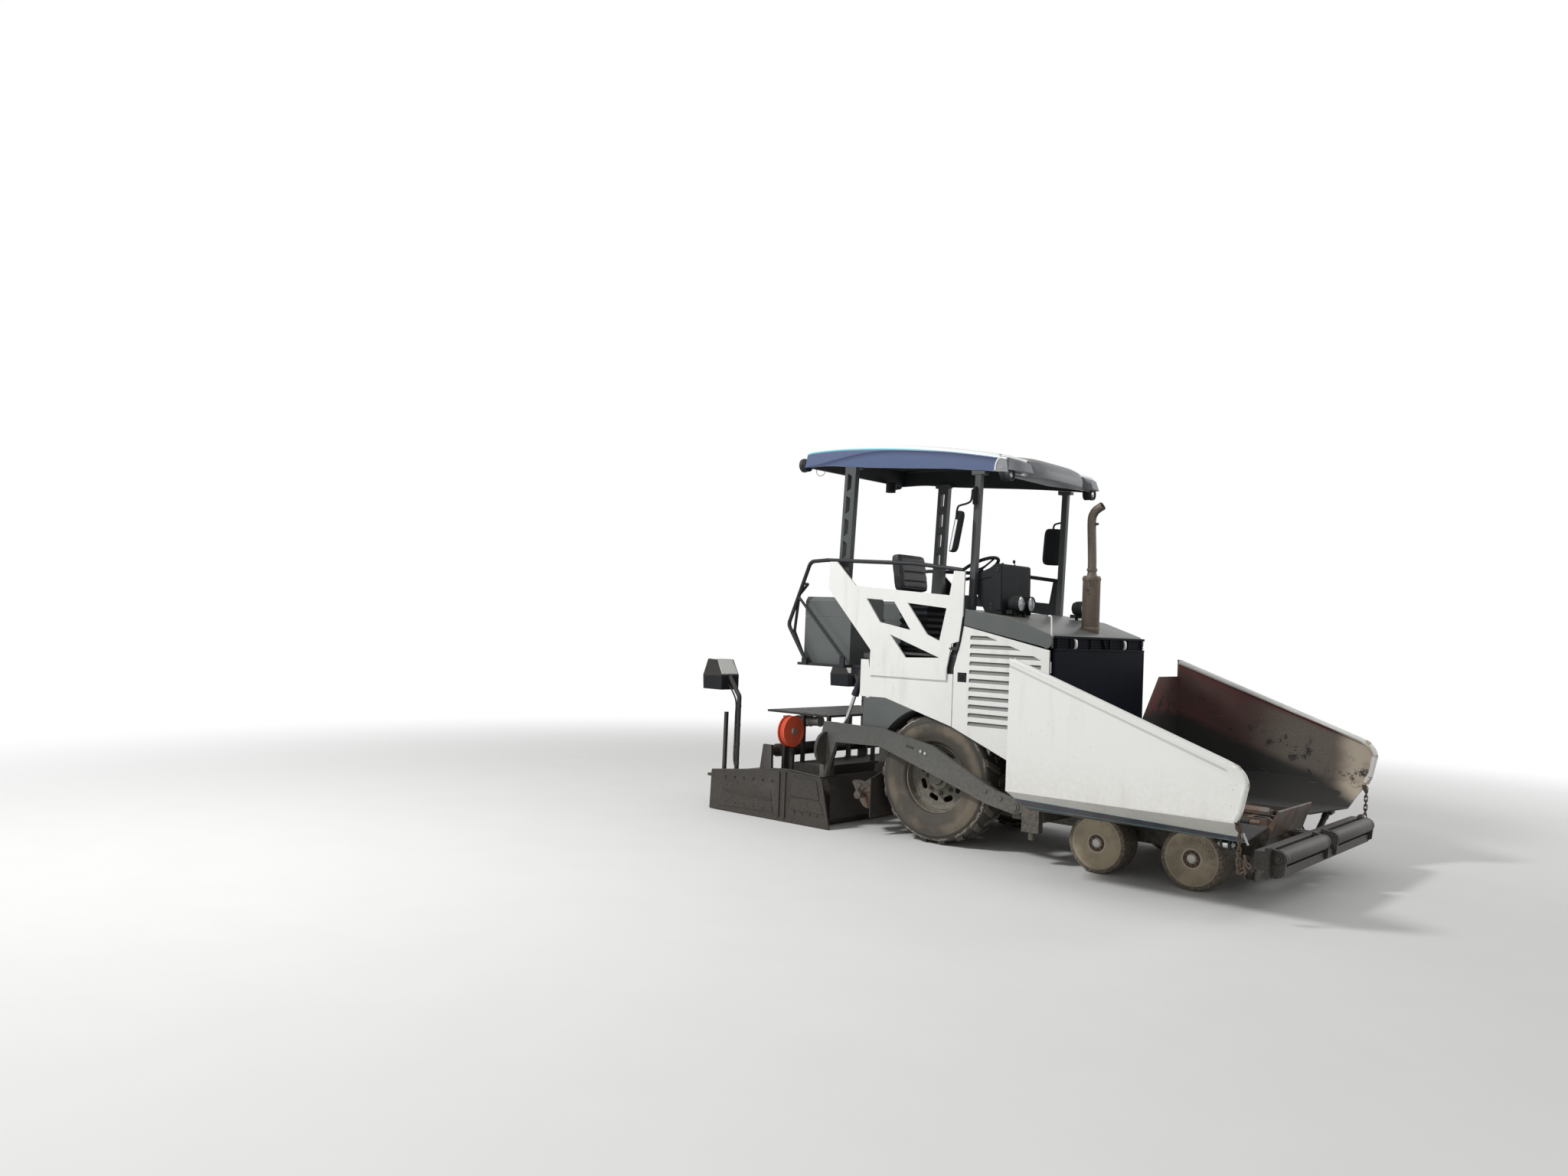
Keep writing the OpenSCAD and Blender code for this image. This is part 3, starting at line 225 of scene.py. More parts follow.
arm_grey = painted("tow arm grey", (0.082, 0.086, 0.082), 0.45, 0.1, 0.08, dust=0.26, specks=0.6, runs=0.5)
rim_grey = painted("rim grey", (0.105, 0.105, 0.09), 0.55, 0.0, 0.12, dust=0.42, specks=0.3, runs=0.0)
pod_grey = painted("moulded grey", (0.25, 0.26, 0.28), 0.5, 0.0, 0.03, dust=0.2, specks=0.2, runs=0.2)


# %% [markdown]
# ## Bare, rusty and tarred steel
# The hopper and the screed carry hot mix, which leaves a dull black film and wears the paint down to
# brown steel. Rust, film and bare metal are three layers here, each let through by its own noise.

# %% Steel finishes
def worn_steel(name, bare, film, rust, shine=0.5, dust=0.4):
    finish = Finish(name, Metallic=0.0)
    patches = finish.noise(3.1, 6, rough=0.66)
    grit = finish.noise(85, 4, rough=0.7)
    tarred = (patches + grit * 0.25).ramp(0.86 - film, 1.0 - film)
    rusted = finish.noise(5.3, 6, rough=0.7).ramp(0.78 - rust, 0.98 - rust)
    shade = finish.mix(grit.ramp(0.3, 0.7), bare, [c * 0.72 for c in bare])
    shade = finish.mix(rusted, shade, (0.115, 0.045, 0.02))
    shade = finish.mix(tarred, shade, (0.018, 0.016, 0.015))
    low = (finish.z.ramp(1.0, 0.1) * grit.ramp(0.35, 0.7) * dust).at_most_one()
    shade = finish.mix(low, shade, SAND)
    metal = (1 - tarred) * (1 - rusted) * (1 - low) * shine
    finish.set(Base_Color=shade, Metallic=metal, Roughness=grit * 0.25 + 0.42)
    return finish.bump(grit * 0.6 + patches * 0.4, 0.35, 0.003)


roller_steel = worn_steel("oily roller steel", (0.046, 0.038, 0.031), 0.42, 0.14, 0.08, 0.15)
hopper_steel = worn_steel("hopper steel", (0.17, 0.15, 0.14), 0.3, 0.34)
screed_steel = worn_steel("tarred screed steel", (0.042, 0.038, 0.035), 0.34, 0.12, 0.3, 0.14)
polished = worn_steel("worn bright steel", (0.46, 0.45, 0.43), 0.1, 0.16, 0.9, 0.2)
rusty = worn_steel("rusty steel", (0.1, 0.068, 0.05), 0.2, 0.34, 0.2, 0.2)
auger_plate = worn_steel("scraped auger plate", (0.075, 0.055, 0.045), 0.38, 0.2, 0.4, 0.1)
cap_steel = worn_steel("hub cap steel", (0.58, 0.56, 0.52), 0.05, 0.22, 0.8, 0.1)
soot = worn_steel("sooty steel", (0.205, 0.165, 0.13), 0.16, 0.06, 0.15, 0.2)


def cast(name, colour, roughness, grain_scale=900, grain=0.12, dust=0.3, gloss=0.5):
    """Moulded plastic, vinyl or cast parts: one colour, a fine grain and a little dust."""
    finish = Finish(name, Specular_IOR_Level=gloss)
    shade, layer, fine = soil(finish, colour, dust=dust, specks=0.1, runs=0.1)
    finish.set(Base_Color=shade, Roughness=(layer * 0.35 + fine * 0.15 + roughness).at_most_one())
    return finish.bump(finish.cells(grain_scale) * 0.5 + fine * 0.5, grain, 0.0015)


def shiny(name, pattern, a, b, **constants):
    """Glass or bright metal whose colour wavers between two."""
    finish = Finish(name, **constants)
    return finish.set(Base_Color=finish.mix(pattern(finish), a, b))


plastic = cast("textured plastic", (0.023, 0.025, 0.028), 0.55, 500, 0.12, 0.15, 0.12)
vinyl = cast("seat vinyl", (0.02, 0.02, 0.022), 0.42, 700, 0.2, 0.2)
hose_rubber = cast("hose rubber", (0.016, 0.016, 0.017), 0.55, 300)
reel_orange = cast("orange hose", (0.72, 0.1, 0.04), 0.45, 200, 0.2, 0.15)
chrome = shiny("chromed rod", lambda f: f.noise(30, 3).ramp(0.4, 0.8), (0.62, 0.62, 0.62), (0.42, 0.41, 0.39),
               Metallic=1.0, Roughness=0.16)
chrome.bump(chrome.noise(260, 2), 0.03, 0.001)
glass = shiny("lamp glass", lambda f: f.cells(160).ramp(0.2, 0.6), (0.62, 0.64, 0.66), (0.3, 0.31, 0.33),
              Metallic=0.2, Roughness=0.08, Coat_Weight=1.0)
mirror_glass = shiny("mirror glass", lambda f: f.noise(12, 2), (0.8, 0.82, 0.84), (0.66, 0.68, 0.7),
                     Metallic=1.0, Roughness=0.05)

# %% [markdown]
# ## Tools for drawing pieces
# `Forms` gathers closed forms in one mesh: prisms from an outline, rods, bent tubes and turned shapes.
# Bent tubes carry their section along a smooth curve, which is how rails, hoses and levers are drawn. A
# form for one side of the machine is written once, with y counted outward on that side.

# %% Forms
SIDES = {"right": -1, "left": 1}


def mm(text):
    """Points written in millimetres: "20,0 17,14" gives [(0.020, 0.0), (0.017, 0.014)]."""
    return [tuple(float(n) / 1000 for n in point.split(",")) for point in text.split()]


def circle(steps):
    """The cosine and sine of even steps round a circle."""
    return [(math.cos(math.tau * k / steps), math.sin(math.tau * k / steps)) for k in range(steps)]


class Forms:
    """Closed forms gathered in one mesh, measured from the rear axle; y counts outward on the given side."""

    def __init__(self, side=1):
        self.mesh, self.side = bmesh.new(), side

    def add(self, points, faces):
        made = [self.mesh.verts.new(p) for p in points]
        for face in faces:
            self.mesh.faces.new([made[i] for i in face])
        return self

    def skin(self, rings):
        """Joins rings of points one after the other and closes both ends."""
        n = len(rings[0])
        faces = [tuple(range(n))[::-1], tuple(range(len(rings) * n - n, len(rings) * n))]
        for a in range(0, len(rings) * n - n, n):
            faces += [(a + k, a + (k + 1) % n, a + n + (k + 1) % n, a + n + k) for k in range(n)]
        return self.add([p for ring in rings for p in ring], faces)

    def prism(self, outline, axis, low, high):
        """An outline in the two other axes, taken in their order, from low to high along one axis."""
        side, ends = self.side, (low, high)
        if axis == "x":
            return self.skin([[(end, side * a, b) for a, b in outline] for end in ends])
        if axis == "y":
            return self.skin([[(a, end, b) for a, b in outline] for end in sorted((side * low, side * high))])
        return self.skin([[(a, side * b, end) for a, b in outline] for end in ends])

    def sheet(self, outline, holes, low, high):
        """A plate with holes, outlined by (x, z), from low to high along y."""
        plate = bmesh.new()
        edges = []
        for loop in [outline, *holes]:
            ring = [plate.verts.new((x, self.side * low, z)) for x, z in loop]
            edges += [plate.edges.new((ring[i - 1], ring[i])) for i in range(len(ring))]
        bmesh.ops.triangle_fill(plate, edges=edges, use_beauty=True, use_dissolve=False)
        top = bmesh.ops.extrude_face_region(plate, geom=plate.faces[:])["geom"]
        top = [v for v in top if isinstance(v, bmesh.types.BMVert)]
        bmesh.ops.translate(plate, vec=(0, self.side * (high - low), 0), verts=top)
        bmesh.ops.dissolve_limit(plate, angle_limit=math.radians(1), verts=plate.verts, edges=plate.edges)
        plate.verts.index_update()
        self.add([v.co.copy() for v in plate.verts], [tuple(v.index for v in f.verts) for f in plate.faces])
        plate.free()
        return self

    def box(self, low, high):
        (x0, y0, z0), (x1, y1, z1) = low, high
        y0, y1 = sorted((y0, y1), key=lambda y: self.side * y)
        return self.prism([(x0, y0), (x1, y0), (x1, y1), (x0, y1)], "z", z0, z1)

    def tube(self, path, radius, sides=12, closed=False, bore=None, deep=0.1):
        """A round tube along points; radius may be a list, one for each point. A bore opens its far end."""
        path = [Vector((p[0], self.side * p[1], p[2])) for p in path]
        n = len(path)
        radii = radius if isinstance(radius, (list, tuple)) else [radius] * n
        ahead = [(path[(i + 1) % n] - path[i - 1]) if closed or 0 < i < n - 1 else
                 (path[1] - path[0] if i == 0 else path[-1] - path[-2]) for i in range(n)]
        side = ahead[0].orthogonal().normalized()
        rings = []
        for i in range(n):
            ahead[i].normalize()
            side = (side - ahead[i] * side.dot(ahead[i])).normalized()
            other = ahead[i].cross(side)
            rings.append([path[i] + (side * c + other * s) * radii[i] for c, s in circle(sides)])
        if bore:
            for back in (0.0, deep):
                scale = bore / radii[-1]
                rings.append([path[-1] - ahead[-1] * back + (p - path[-1]) * scale for p in rings[n - 1]])
        if not closed:
            return self.skin(rings)
        faces = []
        for i in range(n):
            a, b = i * sides, (i + 1) % n * sides
            faces += [(a + k, a + (k + 1) % sides, b + (k + 1) % sides, b + k) for k in range(sides)]
        return self.add([p for ring in rings for p in ring], faces)

    def rod(self, start, end, radius, sides=20):
        return self.tube([start, end], radius, sides)

    def turned(self, profile, centre, axis="y", steps=64, outward=1):
        """Turns a profile of (radius, distance outward) about an axis through centre."""
        centre = Vector((centre[0], self.side * centre[1], centre[2]))
        way = outward * (self.side if axis == "y" else 1)
        n = len(profile)
        points = []
        for c, s in circle(steps):
            for r, d in profile:
                out = {"y": (r * c, way * d, r * s), "x": (way * d, r * c, r * s), "z": (r * c, r * s, way * d)}
                points.append(centre + Vector(out[axis]))
        faces = []
        for k in range(steps):
            a, b = k * n, (k + 1) % steps * n
            faces += [(a + i, a + (i + 1) % n, b + (i + 1) % n, b + i) for i in range(n)]
        return self.add(points, faces)

    def head(self, radius, height, centre, sides=6, axis="y", outward=1):
        """The head of a bolt, or a flat disc."""
        return self.turned([(0, 0), (radius, 0), (radius, height), (0, height)], centre, axis, sides, outward)

    def object(self, name, finish, bevel=0.0, segments=2, sharp=32, local=False):
        """Makes the piece, moves it to the model's origin and rounds its edges; a local one stays where it is."""
        bmesh.ops.recalc_face_normals(self.mesh, faces=self.mesh.faces)
        if not local:
            bmesh.ops.translate(self.mesh, vec=(-AXLE, 0, 0), verts=self.mesh.verts)
        data = bpy.data.meshes.new(name)
        self.mesh.to_mesh(data)
        self.mesh.free()
        return place(data, name, [finish], bevel, segments, sharp)

    def piece(self, name, finish, slot, *replaced, body="tractor", **edges):
        """Makes the piece, hangs it on its body and hides the CAD nodes that it replaces."""
        return put(self.object(name, finish, **edges), body, slot, *replaced)


def link_in(name, data):
    made = bpy.data.objects.new(name, data)
    bpy.context.scene.collection.objects.link(made)
    return made


def as_seen(made):
    """The mesh that an object's modifiers give it."""
    return bpy.data.meshes.new_from_object(made.evaluated_get(bpy.context.evaluated_depsgraph_get()))


def place(data, name, finishes, bevel=0.0, segments=2, sharp=32):
    made = link_in(name, data)
    data.shade_smooth()
    data.set_sharp_from_angle(angle=math.radians(sharp))
    if data.materials:      # clearing an empty list would forget which face has which
        data.materials.clear()
    for finish in finishes:
        data.materials.append(finish.material)
    if bevel:
        edge = made.modifiers.new("rounded edges", "BEVEL")
        edge.width, edge.segments, edge.limit_method = bevel, segments, "ANGLE"
        edge.angle_limit = math.radians(40)
        edge.harden_normals = True
    return made


def put(made, body, slot, *replaced):
    """Hangs a finished piece on its body and hides the CAD nodes that it replaces."""
    if replaced:
        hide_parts(*replaced)
    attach(made, body)
    return made


def smooth_path(points, steps=6):
    """More points on a Catmull-Rom curve through the given ones."""
    points = [Vector(p) for p in points]
    points = [2 * points[0] - points[1]] + points + [2 * points[-1] - points[-2]]
    path = []
    for a, b, c, d in zip(points, points[1:], points[2:], points[3:]):
        for k in range(steps):
            t = k / steps
            straight, bent = 2 * b + (c - a) * t, (2 * a - 5 * b + 4 * c - d) * t * t
            path.append(0.5 * (straight + bent + (3 * b - a - 3 * c + d) * t ** 3))
    return path + [points[-2]]


# %% [markdown]
# ## Rounding the edges of a CAD solid
# Real sheet metal and castings never have perfectly sharp edges, and it is the narrow highlight along an
# edge that makes a shape look solid. A CAD node's own mesh stays as it is, so its shape is copied, its
# loose triangles are merged and joined into large faces, and a bevel rounds the copy's edges.

# %% Rounded copies of CAD nodes
def rounded(node, finish, slot, body, bevel=0.003, segments=2):
    mesh = bmesh.new()
    mesh.from_mesh(nodes[node].data)
    bmesh.ops.remove_doubles(mesh, verts=mesh.verts, dist=0.00005)
    bmesh.ops.dissolve_limit(mesh, angle_limit=math.radians(1.5), verts=mesh.verts, edges=mesh.edges)
    data = bpy.data.meshes.new(node + "_rounded")
    mesh.to_mesh(data)
    mesh.free()
    return put(place(data, node + "_rounded", [finish], bevel, segments), body, slot, node)

# %% [markdown]
# ## One part, many times
# Lugs, nuts, chain links and bolts all repeat one small part by an even step or turn. A single Geometry
# Nodes tree does this: it makes a row of points, puts the part on each one, turned a little further each
# time, and realizes the copies. A scatter with a fixed seed keeps them from looking printed.

# %% The repeat tree
def repeat_tree():
    tree = bpy.data.node_groups.new("repeat a part", "GeometryNodeTree")
    for name, kind in (("Part", "Object"), ("Count", "Int"), ("Start", "Vector"), ("Step", "Vector"),
                       ("Turn", "Vector"), ("Scatter", "Float"), ("Seed", "Int"), ("Finish", "Material")):
        tree.interface.new_socket(name, in_out="INPUT", socket_type="NodeSocket" + kind)
    tree.interface.new_socket("Geometry", in_out="OUTPUT", socket_type="NodeSocketGeometry")
    given = tree.nodes.new("NodeGroupInput").outputs

    def node(kind, inputs, output=0, **settings):
        made = tree.nodes.new(kind)
        for key, value in settings.items():
            setattr(made, key, value)
        for key, value in inputs.items():
            tree.links.new(value, made.inputs[key])
        return made.outputs[output]

    def vector(operation, a, b):
        return node("ShaderNodeVectorMath", {0: a, "Scale" if operation == "SCALE" else 1: b}, operation=operation)

    index = node("GeometryNodeInputIndex", {})
    start = vector("ADD", given["Start"], vector("SCALE", given["Step"], index))
    points = node("GeometryNodePoints", {"Count": given["Count"], "Position": start})
    below = node("ShaderNodeMath", {0: given["Scatter"]}, operation="MULTIPLY")
    below.node.inputs[1].default_value = -1.0
    limits = {0: below, 1: given["Scatter"], "Seed": given["Seed"]}
    chance = node("FunctionNodeRandomValue", limits, data_type="FLOAT_VECTOR")
    turn = vector("ADD", vector("SCALE", given["Turn"], index), chance)
    part = node("GeometryNodeObjectInfo", {"Object": given["Part"]}, "Geometry")
    copies = node("GeometryNodeInstanceOnPoints", {"Points": points, "Instance": part, "Rotation": turn})
    solid = node("GeometryNodeRealizeInstances", {0: copies})
    coat = node("GeometryNodeSetMaterial", {"Geometry": solid, "Material": given["Finish"]})
    tree.links.new(coat, tree.nodes.new("NodeGroupOutput").inputs[0])
    return tree


REPEAT = repeat_tree()
INPUT = {s.name: s.identifier for s in REPEAT.interface.items_tree if s.in_out == "INPUT"}


def repeated(name, part, finish, count, start, step=(0, 0, 0), turn=(0, 0, 0), scatter=0.0, seed=1, keep=False):
    """Copies of a part drawn round its own origin, as one plain mesh; start is measured from the rear axle."""
    holder = link_in(name, bpy.data.meshes.new(name))
    row = holder.modifiers.new("repeat", "NODES")
    row.node_group = REPEAT
    values = {"Part": part, "Count": count, "Start": (start[0] - AXLE, start[1], start[2]), "Step": step,
              "Turn": [math.radians(a) for a in turn], "Scatter": scatter, "Seed": seed, "Finish": finish.material}
    for key, value in values.items():
        row[INPUT[key]] = value
    mesh = as_seen(holder)
    bpy.data.objects.remove(holder)
    if not keep:
        bpy.data.objects.remove(part)
    return link_in(name, mesh)


def nut(radius, height, side):
    """A hexagon nut on the end of its bolt, drawn round its own seat."""
    forms = Forms(side)
    for wide, tall, sides in ((1.45, 0.16, 16), (1, 1, 6), (0.5, 1.4, 10)):
        forms.head(radius * wide, height * tall, (0, 0, 0), sides)
    return forms.object("nut", rim_grey, bevel=radius * 0.08, segments=1, local=True)


# %% [markdown]
# ## What stays as the CAD has it
# Flat panels and castings keep their CAD shape, with rounded edges where these show.

# %% Finishes of the CAD nodes
def coat(node, finish):
    nodes[node].data.materials.clear()
    nodes[node].data.materials.append(finish.material)


for finish, slot, kept in ((white, "body_white", "side_panels deck_panels"), (hood_grey, "body_grey", "fenders"),
                           (post_grey, "dark_paint", "posts"), (hood_grey, "body_grey", "cabinets"),
                           (black, "dark_paint", "platform"), (frame_grey, "dark_paint", "deck")):
    for node in kept.split():
        rounded(node, finish, slot, "tractor", 0.004)
inner = bpy.data.objects["deck_panels_rounded"].data       # dark on their inner sides
inner.materials.append(black.material)
for face in inner.polygons:
    face.material_index = int(face.normal.y * face.center.y < 0 and abs(face.normal.y) > 0.5)

for finish, kept in (
    (frame_grey, "chassis engine_block front_axle"), (black, "handrails"), (vinyl, "seat"), (rusty, "exhaust"),
    (plastic, "console steering_wheel mirrors canopy_lamps hood_lamps"), (hood_grey, "canopy"),
    (hopper_steel, "hopper_base conveyors"), (auger_plate, "auger_frame"), (roller_steel, "push_beam"),
    (arm_grey, "tow_arms"), (screed_steel, "screed"), (reel_orange, "hose_reel"),
):
    for node in kept.split():
        coat(node, finish)
arms = nodes["tow_arms"].data       # the round plates at their rear ends are black
arms.materials.append(hose_rubber.material)
for face in arms.polygons:
    along = [arms.vertices[i].co.x + AXLE for i in face.vertices]
    face.material_index = int(min(along) > -1.126 and max(along) < -1.094)
for name in SIDES:
    for finish, kept in (
        (white, "door wing"), (hood_grey, "lid"), (frame_grey, "knuckle_front knuckle_rear"), (hopper_steel, "auger"),
        (black, "wing_barrel lift_barrel"), (chrome, "wing_rod lift_rod"), (roller_steel, "roller"),
        (screed_steel, "extension"),
    ):
        for node in kept.split():
            coat(f"{node}_{name}", finish)

# %% [markdown]
# ## Rear tyres
# A tyre is a turned section: beads, a bulging sidewall with two fine ribs, a shoulder and a slightly
# crowned tread. Its lugs are low blocks that reach from the shoulder to the middle, one side half a step
# after the other. Dust lies in tan smears on the sidewall and as a pale ragged line on the shoulder.

# %% Rear tyres and their finish
TYRE_R, TREAD_R, TYRE_Y, LUG_PAIRS = 0.55, 0.54, 0.6575, 18

tyre_rubber = Finish("dusty tyre rubber")
radius = tyre_rubber.distance(0, TYRE_R)
smear = tyre_rubber.noise(3, 4, rough=0.55)
grit = tyre_rubber.noise(70, 5, rough=0.7)
dry = (radius.band(0.36, 0.42, 0.44, 0.49) * 0.16 + smear * 1.05 + grit * 0.12).ramp(0.56, 0.86)
shade = tyre_rubber.mix(dry * 0.8, (0.07, 0.061, 0.05), (0.19, 0.155, 0.112))
shoulder = radius.ramp(0.462, 0.49)
shade = tyre_rubber.mix(shoulder * 0.75, shade, (0.045, 0.042, 0.038))
rough_edge = radius + grit * 0.03 + tyre_rubber.noise(22, 4, rough=0.7) * 0.04
ragged = rough_edge.band(0.54, 0.544, 0.552, 0.556) * tyre_rubber.noise(7, 3).ramp(0.36, 0.6)
shade = tyre_rubber.mix(ragged * 0.85, shade, (0.42, 0.37, 0.3))
worn_top = radius.ramp(0.536, 0.543) * grit.ramp(0.35, 0.6)
shade = tyre_rubber.mix(worn_top * 0.6, shade, (0.26, 0.215, 0.16))
tyre_rubber.set(Base_Color=shade, Roughness=grit * 0.2 + 0.68)
tyre_rubber.bump(grit * 0.5 + smear * 0.2 + shoulder * grit * 0.8, 0.35, 0.004)

half_section = mm("296,138 302,154 318,163 323,164.5 335,164 348,170 390,179.5 430,182.2 455,180 470,176.5 "
                  "473,178.5 483,177.2 486.5,173.5 504,169 516,162 526,148 532,120 536,50")
section = half_section + mm("536.5,0") + [(r, -d) for r, d in reversed(half_section)]
# four stations across the tyre: radius and distance outward of the lug's foot and top, width and skew
LUG = list(zip(mm("531,-12 528,100 516,152 498,166"), mm("549,-12 549.5,100 544,150 506,171.5"),
               mm("60,80 66,28 78,0 70,0")))
for name, side in SIDES.items():
    body, at = "rear_wheel_" + name, (0, side * TYRE_Y, TYRE_R)
    lug = Forms()
    for half, shift in ((1, 0), (-1, math.pi / LUG_PAIRS)):
        rings = []
        for foot, top, (wide, skew) in LUG:
            corners = [(*foot, -wide), (*top, -wide * 0.86), (*top, wide * 0.86), (*foot, wide)]
            turns = [(r, d, (skew + w / 2) / TREAD_R + shift) for r, d, w in corners]
            rings.append([(r * math.sin(a), half * d, r * math.cos(a)) for r, d, a in turns])
        lug.skin(rings)
    block = lug.object("lug", tyre_rubber, bevel=0.004, local=True)
    lugs = repeated("lugs_" + name, block, tyre_rubber, LUG_PAIRS, at,
                    turn=(0, 360 / LUG_PAIRS, 0), scatter=0.003, seed=7)
    carcass = Forms(side).turned(section, (0, TYRE_Y, TYRE_R), "y", 96)
    carcass.piece("tyre_" + name, tyre_rubber, "tyre", "rear_tyre_" + name, body=body, sharp=50)
    put(lugs, body, "tyre")

# %% [markdown]
# ## Rims, nuts and front wheels
# The rear disc is pressed steel with eight wheel nuts and eight oval hand holes. The four small wheels in
# front are solid: a rubber band pressed on a steel disc, with a ring of nuts round a bright hub cap.

# %% Rims and front wheels
NUTS, NUT_RING = 8, 0.135
for name, side in SIDES.items():
    body = "rear_wheel_" + name
    rounded("rear_rim_" + name, rim_grey, "rim_paint", body, 0.004)
    ring = Forms(side)
    for c, s in circle(NUTS):
        centre = (NUT_RING * c, TYRE_Y + 0.04, TYRE_R + NUT_RING * s)
        ring.turned(mm("0,0 20,0 17,14 0,14"), centre, "y", 20)
    ring.turned(mm("86,0 95,4 95,16 60,22 60,0"), (0, TYRE_Y + 0.078, TYRE_R), "y", 40)
    ring.turned(mm("262,0 275,6 268,12 255,6"), (0, TYRE_Y + 0.05, TYRE_R), "y", 72)
    ring.piece("rim_rings_" + name, rim_grey, "rim_paint", body=body, bevel=0.001)
    stud = nut(0.014, 0.018, side)
    for v in stud.data.vertices:
        v.co.x += NUT_RING
    at = (0, side * (TYRE_Y + 0.054), TYRE_R)
    put(repeated("wheel_nuts_" + name, stud, rusty, NUTS, at, turn=(0, 360 / NUTS, 0), seed=2), body, "rim_paint")

FRONT_R, FRONT_Y = 0.23, 0.675


def disc_finish(name, x):
    """Dried mud and cement over the flat disc of a small wheel, with a pale line near its edge."""
    finish = Finish(name)
    radius = finish.distance(x, FRONT_R)
    wide, grit = finish.noise(5.5, 5, rough=0.6), finish.noise(90, 5, rough=0.72)
    shade = finish.mix(wide.ramp(0.38, 0.66), (0.43, 0.36, 0.25), (0.28, 0.232, 0.165))
    shade = finish.mix(grit.ramp(0.58, 0.75) * 0.5, shade, (0.08, 0.066, 0.05))
    dark = finish.noise(3, 5, rough=0.7).ramp(0.56, 0.66) * radius.ramp(0.08, 0.16) * grit.ramp(0.4, 0.6)
    shade = finish.mix(dark * 0.8, shade, (0.05, 0.042, 0.034))
    line = (radius + grit * 0.006).band(0.189, 0.192, 0.1955, 0.1985)
    shade = finish.mix(line * 0.8, shade, (0.43, 0.38, 0.3))
    shade = finish.mix(radius.ramp(0.064, 0.063), shade, (0.15, 0.095, 0.065))
    shade = finish.mix(radius.band(0.0625, 0.0645, 0.0735, 0.0755), shade, (0.52, 0.47, 0.38))
    band = (radius + grit * 0.014).ramp(0.201, 0.208)
    dusty = finish.mix(grit.ramp(0.42, 0.58), (0.07, 0.06, 0.048), (0.25, 0.205, 0.15))
    shade = finish.mix(band, shade, dusty)
    finish.set(Base_Color=shade, Roughness=grit * 0.25 + 0.62)
    return finish.bump(grit * 0.5 + wide * 0.5 + band * grit * 1.2, 0.55, 0.004)


band_section = mm("190,-121 214,-124 226,-116 229.8,-100 229.8,100 227.5,114 220,121 205,122.5 190,120")
disc_section = mm("30,-110 193,-110 193.5,118 190,120.5 184,119 176,116.5 120,115 76,115 70,118.5 "
                  "64,119 60,112 30,112")
for end, x in (("front", 2.207), ("rear", 1.473)):
    caked = disc_finish("caked wheel " + end, x)
    for name, side in SIDES.items():
        body, centre = f"wheel_{end}_{name}", (x, FRONT_Y, FRONT_R)
        band = Forms(side).turned(band_section, centre, "y", 72)
        band.piece("band_" + body, caked, "tyre", body, body=body, sharp=45)
        disc = Forms(side).turned(disc_section, centre, "y", 72)
        disc.piece("disc_" + body, caked, "rim_paint", body=body, sharp=40)
        hub = Forms(side).turned(mm("0,110 31,110 31,123.5 28,124.5 10,124.8 0,124.8"), centre, "y", 8)
        hub.turned(mm("30,108 38,108 36,117.5 30,118.5"), centre, "y", 36)
        hub.piece("hub_cap_" + body, cap_steel, "rim_paint", body=body, bevel=0.0015, sharp=40)
        stud = Forms(side).turned(mm("0,0 12.5,0 12.5,9 10.5,10.5 0,10.5"), (0.0465, 0, 0), "y", 6)
        stud = stud.object("stud", rusty, bevel=0.0008, segments=1, local=True)
        at = (x, side * (FRONT_Y + 0.1118), FRONT_R)
        nuts = repeated("nuts_" + body, stud, rusty, NUTS, at, turn=(0, 360 / NUTS, 0), scatter=0.002, seed=3)
        put(nuts, body, "rim_paint")

# %% [markdown]
# ## The canopy
# The roof is a thin moulded shell. Its side runs between two curves, an upper and a lower edge, so it is
# lofted: at each station along the machine the section goes up one side, round the shoulder, over the top
# and down the other side. Each corner stores how far it lies below the upper edge, and the stripes and
# the pressed crease follow that measure instead of a height, so they bend with the roof.

# %% Canopy shell
def curve(points):
    """Height along the machine, on a smooth curve through (x, z) points."""
    path = smooth_path([(x, 0, z) for x, z in points], 8)

    def at(x):
        for a, b in zip(path, path[1:]):
            if a.x <= x <= b.x:
                return a.z + (b.z - a.z) * (x - a.x) / max(b.x - a.x, 1e-6)
        return path[0].z if x < path[0].x else path[-1].z
    return at


roof_top = curve(mm("-1545,3444 -1470,3457 -1106,3460.5 -557,3429 -43,3376 350,3313 575,3268"))
roof_low = curve(mm("-1575,3284 -1280,3284 -916,3249 -135,3195 300,3156 600,3122"))
ROOF_Y, SHOULDER, SHEET = 0.8, 0.038, 0.024
STATIONS, RISE, ROUND, FLAT = 44, 6, 6, 7       # steps along, up the side, round the shoulder, to the middle


def section(low, high, half, shoulder):
    """One side, the shoulder and the top as (y, z), from right to left."""
    right_half = [(-half, low + (high - shoulder - low) * k / RISE) for k in range(RISE)]
    for k in range(ROUND):
        turn = math.pi / 2 * k / (ROUND - 1)
        right_half.append((-half + shoulder * (1 - math.cos(turn)), high - shoulder * (1 - math.sin(turn))))
    right_half += [(-half + shoulder + (half - shoulder) * k / FLAT, high) for k in range(1, FLAT)]
    return right_half + [(0.0, high)] + [(-y, z) for y, z in reversed(right_half)]


